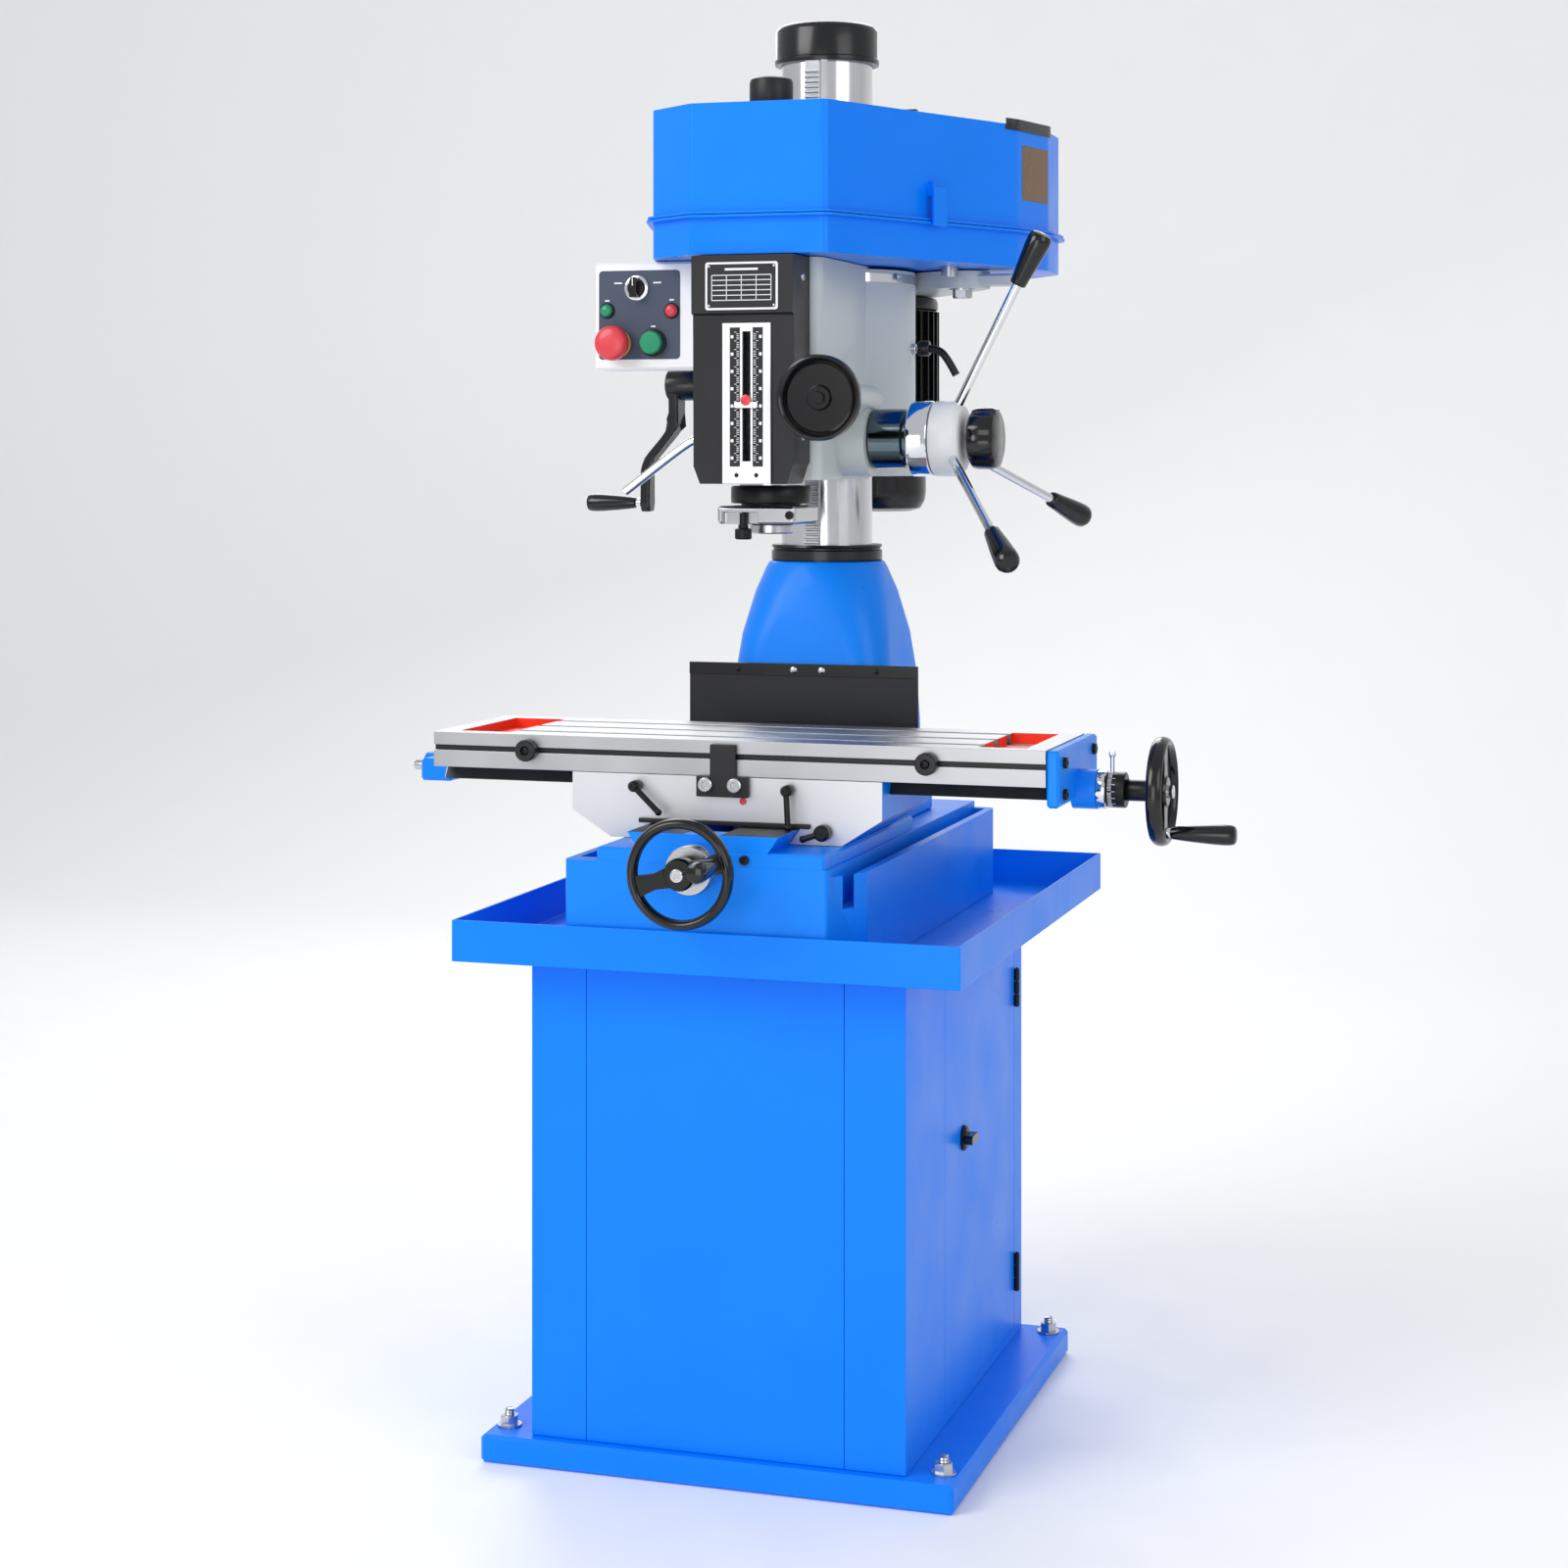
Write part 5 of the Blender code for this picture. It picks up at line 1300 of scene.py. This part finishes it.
        make.piece("depth_clamp_screw", clamp_screw, BLACK_OXIDE, "quill", 0.2)

    def _electric_box(self) -> None:
        """White box with a slate panel, selector, lamps and two buttons."""
        make = self.maker
        make.refine("electric_box", WHITE_PAINT, 1.5)
        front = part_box("electric_box")[0][1]
        axes = axes_at((-0.1628, front, 1.3215), -Y_AXIS, X_AXIS)
        panel = prism(rounded_box_outline(0.052, 0.0535, 0.005), -0.0003, 0.0004, axes)
        holes = [lathe([(0, 0), (0.0046, 0), (0.0046, 0.02), (0, 0.02)],
                       (x, front + 0.01, z), -Y_AXIS, 24)
                 for x, z in (self.selector, self.estop, self.start)]
        make.piece("control_panel", carve(panel, holes), SLATE_PANEL, "head", 0.1)
        for name, (x, z), inner, outer, finish in (
                ("selector", self.selector, 0.0112, 0.0152, CHROME),
                ("estop", self.estop, 0.0108, 0.0175, YELLOW_RING),
                ("start", self.start, 0.0145, 0.0168, BLACK_OXIDE)):
            ring = lathe([(inner, 0.0003), (outer, 0.0003), (outer, 0.0022),
                          (outer - 0.0012, 0.003), (inner, 0.003)],
                         (x, front, z), -Y_AXIS)
            make.piece(f"{name}_ring", ring, finish, "head")
        for name, x, z, finish in (("green_lamp", -0.204, 1.327, GREEN_PLASTIC),
                                   ("red_lamp", -0.1214, 1.326, RED_PLASTIC)):
            lens = [(0.0078 * math.cos(a), 0.003 + 0.0042 * math.sin(a))
                    for a in (math.radians(15 * i) for i in range(6))]
            lamp = lathe([(0, 0.0003), (0.0078, 0.0003)] + lens + [(0, 0.0072)],
                         (x, front, z), -Y_AXIS, 32)
            make.piece(name, lamp, finish, "head")
            bezel = lathe([(0.0079, 0.0003), (0.0094, 0.0003), (0.0094, 0.002),
                           (0.0086, 0.003), (0.0079, 0.003)], (x, front, z), -Y_AXIS, 32)
            make.piece(f"{name}_bezel", bezel, BLACK_OXIDE, "head")
        self._buttons(front)
        marks = []
        for x, z, wide in ((-0.204, 1.339, 0.006), (-0.1214, 1.339, 0.006),
                           (-0.19, 1.36, 0.01), (-0.14, 1.36, 0.01),
                           (-0.145, 1.3075, 0.006)):
            marks.append(block((x - wide / 2, x + wide / 2), (front - 0.00055, front),
                               (z - 0.0009, z + 0.0009)))
        make.piece("panel_marks", joined(marks), SCALE_WHITE, "head")
        screw = placed(pan_screw(0.003), (-0.2199, -0.06, 1.32), -X_AXIS)
        make.piece("box_screw", screw, BLACK_OXIDE, "head")

    def _buttons(self, front: float) -> None:
        """Moving parts of the panel: selector, emergency stop and start button."""
        make = self.maker
        back = front - 0.0005
        stem = [(0, -0.0145), (0.004, -0.0145), (0.004, 0.0002)]
        dial = lathe(stem + [(0.0108, 0.0006), (0.0108, 0.0045), (0.0098, 0.006),
                             (0, 0.006)], (self.selector[0], back, self.selector[1]),
                     -Y_AXIS)
        handle = prism([(0.0045, -0.0118), (0.0045, 0.0085), (0.0022, 0.0125),
                        (-0.0022, 0.0125), (-0.0045, 0.0085), (-0.0045, -0.0118)],
                       0.0055, 0.0155, axes_at((self.selector[0], front, self.selector[1]),
                                               -Y_AXIS, X_AXIS))
        make.piece("selector_knob", joined([dial, handle]), BAKELITE, "selector", 0.6,
                   replaces=("selector_switch",))
        line = block((-0.1666, -0.1654), (front - 0.01595, front - 0.015),
                     (1.356, 1.366))
        make.piece("selector_line", line, SCALE_WHITE, "selector")
        stop = lathe(stem + [(0.004, 0.0056), (0.01, 0.0085), (0.011, 0.013),
                             (0.02, 0.0138), (0.021, 0.016), (0.021, 0.0212),
                             (0.0196, 0.0251), (0.0162, 0.0277), (0.008, 0.0288),
                             (0, 0.029)],
                     (self.estop[0], back, self.estop[1]), -Y_AXIS)
        make.piece("estop_mushroom", stop, RED_PLASTIC, "estop", replaces=("estop_button",))
        start = lathe(stem + [(0.004, 0.0046), (0.013, 0.0047), (0.0139, 0.0054),
                              (0.0139, 0.0098), (0.0124, 0.0116), (0, 0.0124)],
                      (self.start[0], back, self.start[1]), -Y_AXIS)
        make.piece("start_push", start, GREEN_PLASTIC, "start", replaces=("start_button",))

    def _clamps(self) -> None:
        """Column clamp lever and the chrome clamp rod."""
        make = self.maker
        y, z = self.clamp
        lever = joined([
            lathe([(0, 0), (0.006, 0), (0.006, 0.04), (0, 0.04)], (0.076, y, z), X_AXIS,
                  24),
            lathe([(0, 0), (0.0088, 0), (0.01, 0.0015), (0.01, 0.013),
                   (0.0085, 0.015), (0, 0.015)], (0.1065, y, z), X_AXIS, 32),
            rod([(0.118, y, z), (0.135, y, z - 0.002), (0.146, y, z - 0.016),
                 (0.156, y, z - 0.034)], 0.0049, smooth_steps=2)])
        make.piece("column_clamp", lever, BLACK_ENAMEL, "column_clamp",
                   replaces=("column_clamp_lever",))
        bolt = placed(socket_screw(0.0062, 0.006), (0.1112, 0.15, 1.286), X_AXIS)
        make.piece("clamp_slit_bolt", bolt, TURNED_STEEL, "head", 0.3)
        chrome_rod = rod([(-0.063, -0.04, 1.173), (-0.104, -0.04, 1.173),
                          (-0.12, -0.041, 1.167), (-0.1972, -0.047, 1.1082)], 0.0054,
                         24, 2)
        hub = lathe([(0, 0), (0.009, 0), (0.01, 0.001), (0.01, 0.013),
                     (0.008, 0.0145), (0, 0.0145)], (-0.0785, -0.04, 1.173), -X_AXIS, 32)
        make.piece("quill_clamp_rod", joined([chrome_rod, hub]), CHROME, "head_clamp",
                   replaces=("head_clamp_rod",))

    def _crank(self) -> None:
        """Dog-leg crank arm of the head's lift, and its grip."""
        make = self.maker
        x, y, z = self.crank
        hub = lathe([(0, -0.111), (0.0108, -0.111), (0.0108, -0.0215), (0.019, -0.021),
                     (0.02, -0.0195), (0.02, 0.0225), (0.0185, 0.024), (0, 0.024)],
                    (x, y, z), -X_AXIS)
        edge = [(0.015, 0.01), (0.016, -0.01), (0.0155, -0.035)]
        edge += [(0.015 - 0.0004 * i, -0.045 - 0.007 * i) for i in range(11)]
        edge += [(0.0112, -0.135), (0.0118, -0.152), (0.008, -0.1628)]
        arm = prism([(-a, b) for a, b in edge] + edge[::-1], -0.0065, 0.0065,
                    axes_at((x - 0.014, y, z), X_AXIS, Y_AXIS))
        for vertex in arm.vertices:
            share = min(1.0, max(0.0, (z - 0.045 - vertex.co.z) / 0.065))
            vertex.co.x -= 0.04 * share * share * (3 - 2 * share)
        make.piece("crank_hub", hub, BLACK_ENAMEL, "crank")
        washer = lathe([(0.011, 0.0238), (0.0165, 0.0238), (0.016, 0.025),
                        (0.011, 0.025)], (x, y, z), -X_AXIS)
        make.piece("crank_washer", washer, CHROME, "crank")
        make.piece("crank_arm", arm, BLACK_ENAMEL, "crank", 2.5, replaces=("head_crank",),
                   segments=3)
        at = Vector((x - 0.0595, y, z - 0.1515))
        add_crank_grip(make, "crank", at, -X_AXIS, 0.066, "crank", "crank_grip",
                       "head_crank_grip")


@dataclass
class Feed(Assembly):
    """Quill feed hub, three levers, end knob and the fine feed wheel."""

    y: float = -0.0245
    z: float = 1.1725
    tilt: float = 28.0
    first_turn: float = 6.0
    lever_x: float = 0.211
    lever_root: float = 0.03
    rod_length: float = 0.18
    knob_x: float = 0.231
    wheel_at: tuple[float, float, float] = (0.096, -0.2, 1.2186)

    def build(self) -> None:
        """Makes every piece of the feed."""
        make = self.maker
        low = (0.0, self.y, self.z)
        shaft = lathe([(0, -0.03), (0.0145, -0.03), (0.0155, -0.028), (0.0155, 0.1115),
                       (0, 0.1115)], low, X_AXIS)
        make.piece("pinion_shaft", shaft, TURNED_STEEL, "feed")
        barrel = lathe([(0, 0.1118), (0.034, 0.112), (0.0355, 0.1135), (0.0355, 0.152),
                        (0.034, 0.153), (0.032, 0.1545), (0.032, 0.1605), (0, 0.1605)],
                       low, X_AXIS, 72)
        make.piece("spring_barrel", barrel, DARK_CHROME, "feed")
        ring = lathe([(0, 0.1606), (0.043, 0.1606), (0.0448, 0.1625), (0.0448, 0.1845),
                      (0.0435, 0.1862), (0.04, 0.1868), (0, 0.1868)], low, X_AXIS, 72)
        make.piece("clutch_ring", ring, CHROME, "feed")
        hub = lathe([(0, 0.1869), (0.04, 0.1869), (0.044, 0.1885), (0.0447, 0.19),
                     (0.0447, 0.2125), (0.043, 0.216), (0.0385, 0.2225), (0.036, 0.2234),
                     (0, 0.2234)], low, X_AXIS, 72)
        make.piece("lever_hub", hub, HUB_WHITE, "feed", replaces=("feed_hub",))
        for number in (1, 2, 3):
            self._lever(number)
        self._knob()
        self._fine_wheel()

    def _lever(self, number: int) -> None:
        """One chrome rod with its black grip."""
        turn = math.radians(120 * (number - 1) + self.first_turn)
        tilt = math.radians(self.tilt)
        radial = Vector((0, -math.sin(turn), math.cos(turn)))
        direction = radial * math.cos(tilt) + X_AXIS * math.sin(tilt)
        root = Vector((self.lever_x, self.y, self.z)) + radial * self.lever_root
        bar = rod([root, root + direction * self.rod_length], 0.0056, 28)
        self.maker.piece(f"lever_rod_{number}", bar, CHROME, "feed",
                         replaces=(f"feed_lever_{number}",))
        grip = lathe([(0, 0.1712), (0.009, 0.1712), (0.0097, 0.1724), (0.0104, 0.181),
                      (0.0125, 0.201), (0.014, 0.219), (0.0145, 0.2275),
                      (0.0138, 0.233), (0.0112, 0.2368), (0.0066, 0.2379), (0, 0.2379)],
                     root, direction, 36)
        self.maker.piece(f"lever_grip_{number}", grip, BAKELITE, "feed")

    def _knob(self) -> None:
        """End knob with seven shallow finger hollows and a smooth face."""
        knob = lathe([(0, -0.0045), (0.01, -0.0045), (0.0105, -0.0005), (0.03, 0.0008),
                      (0.035, 0.004), (0.0365, 0.01), (0.0365, 0.027),
                      (0.0345, 0.0325), (0.029, 0.0345), (0, 0.0345)], (0, 0, 0), sides=84)
        for vertex in knob.vertices:
            radius = math.hypot(vertex.co.x, vertex.co.y)
            if radius > 0.033:
                angle = math.atan2(vertex.co.y, vertex.co.x)
                pull = 1 - 0.045 * max(0.0, -math.cos(7 * angle)) ** 1.5
                vertex.co.x *= pull
                vertex.co.y *= pull
        knob.transform(axes_at((self.knob_x, self.y, self.z), X_AXIS))
        self.maker.piece("clutch_knob", knob, BAKELITE, "feed_knob",
                         replaces=("feed_knob",))

    def _fine_wheel(self) -> None:
        """Dished black wheel with a centre bolt, and its shaft."""
        at = Vector(self.wheel_at)
        dish = lathe([(0, -0.001), (0.013, -0.001), (0.015, 0.003), (0.0385, 0.003),
                      (0.0433, -0.005), (0.0458, -0.0072), (0.0484, -0.006),
                      (0.0495, -0.003), (0.0495, 0.004), (0.0478, 0.0075),
                      (0.0443, 0.0095), (0.0395, 0.01), (0.016, 0.011),
                      (0.014, 0.023), (0.006, 0.0245), (0, 0.0245)], at, Y_AXIS, 84)
        self.maker.piece("fine_wheel_dish", dish, BAKELITE, "fine_feed",
                         replaces=("fine_feed_wheel",))
        shaft = lathe([(0, 0.024), (0.006, 0.024), (0.006, 0.16), (0, 0.16)], at,
                      Y_AXIS, 24)
        self.maker.piece("fine_wheel_shaft", shaft, TURNED_STEEL, "fine_feed")
        bolt = placed(hex_nut(0.013, 0.006), at - Y_AXIS * 0.0009, -Y_AXIS)
        self.maker.piece("fine_wheel_bolt", bolt, BLACK_OXIDE, "fine_feed", 0.3)


# ------------------------------------------------------------------ belt drive

@dataclass
class Drive(Assembly):
    """Belt pan and cover, pulleys, belts, motor and its plate."""

    motor: tuple[float, float] = (0.01, 0.352)
    spindle: tuple[float, float] = (0.0, -0.078)
    tension: tuple[float, float] = (0.165, 0.196)
    fins: int = 36

    def build(self) -> None:
        """Makes every piece of the drive."""
        make = self.maker
        make.refine("belt_pan", SHEET_BLUE, 0.9)
        make.refine("belt_cover", SHEET_BLUE, 1.2)
        self._cover_details()
        make.refine("cover_latch", SHEET_BLUE, 1.0)
        self._spindle_cap()
        for node in ("spindle_pulley", "idler_pulley", "motor_pulley"):
            make.refine(node, PULLEY_METAL, 0.4)
        for node in ("front_belt", "rear_belt"):
            make.refine(node, BELT_RUBBER, 0.6)
        self._motor()
        self._plate()

    def _cover_details(self) -> None:
        """Handle on the top, and the end strip and the label, brown with painted shade, on
        the right side.
        """
        make = self.maker
        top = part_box("belt_cover")[1][2]
        bracket = block((0.078, 0.112), (0.188, 0.206), (top - 0.0002, top + 0.004))
        lug = block((0.084, 0.106), (0.192, 0.202), (top, top + 0.03))
        make.piece("cover_handle", joined([bracket, lug]), BLACK_ENAMEL, "cover", 1.5)
        for name, y, z, spread, rise, finish in (
                ("cover_end_strip", (0.13, 0.245), (1.548, 1.562), 1.008, 0.007,
                 BLACK_ENAMEL),
                # Label: its brown is a yellow label's colour with painted shade.
                ("cover_label", (0.165, 0.238), (1.47, 1.538), 1.0025, 0.0,
                 LABEL_BROWN_PAINTED_SHADE)):
            shell = carve(make.copy_of("belt_cover"), [block((0.235, 0.3), y, z)],
                          "INTERSECT")
            middle = Vector((0.03, 0.13, 0))
            shell.transform(Matrix.Translation(middle + Z_AXIS * rise)
                            @ Matrix.Diagonal((spread, spread, 1, 1))
                            @ Matrix.Translation(-middle))
            make.piece(name, shell, finish, "cover")

    def _spindle_cap(self) -> None:
        """Black cap over the top of the spindle."""
        low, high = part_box("spindle_cap")
        cap = lathe([(0, low[2]), (0.0125, low[2]), (0.013, low[2] + 0.001),
                     (0.013, 1.5625), (0.025, 1.5625), (0.026, 1.564),
                     (0.026, high[2] - 0.006), (0.0245, high[2] - 0.002),
                     (0.021, high[2]), (0, high[2])], (*self.spindle, 0), sides=72)
        make = self.maker
        make.piece("spindle_end_cap", cap, BLACK_PAINT, "cap", replaces=("spindle_cap",))

    def _motor(self) -> None:
        """Finned motor body, fan cowl with its louvres, and terminal box."""
        make = self.maker
        at = (*self.motor, 0)
        body = lathe([(0.0125, 1.305), (0.0125, 1.361), (0.072, 1.361), (0.078, 1.359),
                      (0.08, 1.354), (0.08, 1.345), (0.076, 1.343),
                      (0.076, 1.18), (0.08, 1.178), (0.08, 1.17), (0, 1.17),
                      (0, 1.305)], at, sides=72)
        make.piece("motor_body", body, BLACK_ENAMEL, "head", replaces=("motor",))
        fin = block((0.075, 0.0818), (-0.0011, 0.0011), (1.181, 1.342))
        fins = self.row.repeat(fin, self.fins, BLACK_ENAMEL, turn=(0, 0, 360 / self.fins),
                               axes=Matrix.Translation(at))
        make.piece("motor_fins", fins, BLACK_ENAMEL, "head")
        cowl = lathe([(0, 1.0785), (0.044, 1.0785), (0.0565, 1.0825), (0.0625, 1.093),
                      (0.064, 1.104), (0.064, 1.158), (0.078, 1.1695), (0, 1.1695)],
                     at, sides=72)
        holes = self.row.repeat(block((0.02, 0.042), (-0.0022, 0.0022), (1.073, 1.081)),
                                12, BLACK_ENAMEL, turn=(0, 0, 30),
                                axes=Matrix.Translation(at))
        make.piece("fan_cowl", carve(cowl, [holes]), BLACK_ENAMEL, "head")
        box_mesh = block((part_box("motor")[0][0], self.motor[0] - 0.07),
                         (self.motor[1] - 0.034, self.motor[1] + 0.034), (1.236, 1.304))
        make.piece("terminal_box", box_mesh, BLACK_ENAMEL, "head", 3.0, segments=3)

    def _plate(self) -> None:
        """Cast motor plate with its tension bolt."""
        make = self.maker
        make.refine("motor_plate", CAST_GREY, 1.5)
        nut = placed(hex_nut(0.022, 0.012), (*self.tension, 1.3622), -Z_AXIS)
        make.piece("tension_nut", nut, TURNED_STEEL, "head", 0.3)
        washer = lathe([(0, 0), (0.016, 0), (0.016, 0.0016), (0, 0.0016)],
                       (*self.tension, 1.3609))
        make.piece("tension_washer", washer, TURNED_STEEL, "head")


# ------------------------------------------------------------------ studio

@dataclass
class Studio:
    """Floor, soft lights and the camera."""

    eye: tuple[float, float, float] = (1.05095, -3.33333, 1.15742)
    heading: float = 17.641
    lens: float = 66.054
    rise: float = -0.2121

    def build(self) -> None:
        """Sets the camera, the lights, the floor and the sky."""
        scene = bpy.context.scene
        scene.view_settings.view_transform = "Standard"
        camera = bpy.data.objects.new("camera", bpy.data.cameras.new("camera"))
        camera.data.lens = self.lens
        camera.data.shift_y = self.rise
        camera.location = self.eye
        camera.rotation_euler = (math.radians(90), 0, math.radians(self.heading))
        bpy.context.collection.objects.link(camera)
        scene.camera = camera
        for name, place, size, power in (("key", (-2.6, -3.4, 3.4), 2.6, 118),
                                         ("fill", (3.6, -2.2, 2.4), 2.4, 36),
                                         ("back", (-1.2, 3.2, 3.2), 2.4, 62),
                                         ("low", (0.2, -4.2, 0.9), 2.0, 30)):
            lamp = bpy.data.lights.new(name, "AREA")
            lamp.size = size
            lamp.energy = power
            light = bpy.data.objects.new(name, lamp)
            light.location = place
            aim = Vector((0, 0, 0.95)) - Vector(place)
            light.rotation_euler = aim.to_track_quat("-Z", "Y").to_euler()
            bpy.context.collection.objects.link(light)
        world = bpy.data.worlds.new("studio")
        world.use_nodes = True
        world.node_tree.nodes["Background"].inputs[0].default_value = srgb("#DCDDE0")
        world.node_tree.nodes["Background"].inputs[1].default_value = 0.86
        scene.world = world
        self._floor()

    def _floor(self) -> None:
        """A wide pale floor that curves up into a wall."""
        bm = bmesh.new()
        line = [(-14.0, 0.0), (3.2, 0.0)]
        line += [(3.2 + 1.6 * math.sin(a), 1.6 - 1.6 * math.cos(a))
                 for a in (math.radians(9 * i) for i in range(1, 11))]
        line.append((4.8, 9.0))
        rings = [[bm.verts.new((x, y, z - 0.0002)) for y, z in line] for x in (-14.0, 14.0)]
        for i in range(len(line) - 1):
            bm.faces.new((rings[0][i], rings[1][i], rings[1][i + 1], rings[0][i + 1]))
        mesh = bpy.data.meshes.new("floor")
        bm.to_mesh(mesh)
        bm.free()
        mesh.shade_smooth()
        floor = bpy.data.objects.new("floor", mesh)
        material = Finish("pale studio floor", "#F4F4F3", "white_sheet", roughness=0.55,
                          mottle=0.0, grain_mm=50, relief_mm=0.0).material()
        mesh.materials.append(material)
        bpy.context.collection.objects.link(floor)


def main() -> None:
    """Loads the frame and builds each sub-assembly."""
    logging.basicConfig(level=logging.INFO, format="%(message)s")
    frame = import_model()
    maker = Maker(frame)
    row = Row()
    Studio().build()
    for part in (Stand(maker, row), Base(maker, row), CrossSlide(maker, row),
                 Table(maker, row), Head(maker, row), Feed(maker, row), Drive(maker, row)):
        part.build()
        LOG.info("%s done, %d pieces so far", type(part).__name__, maker.count)


if __name__ == "__main__":
    main()
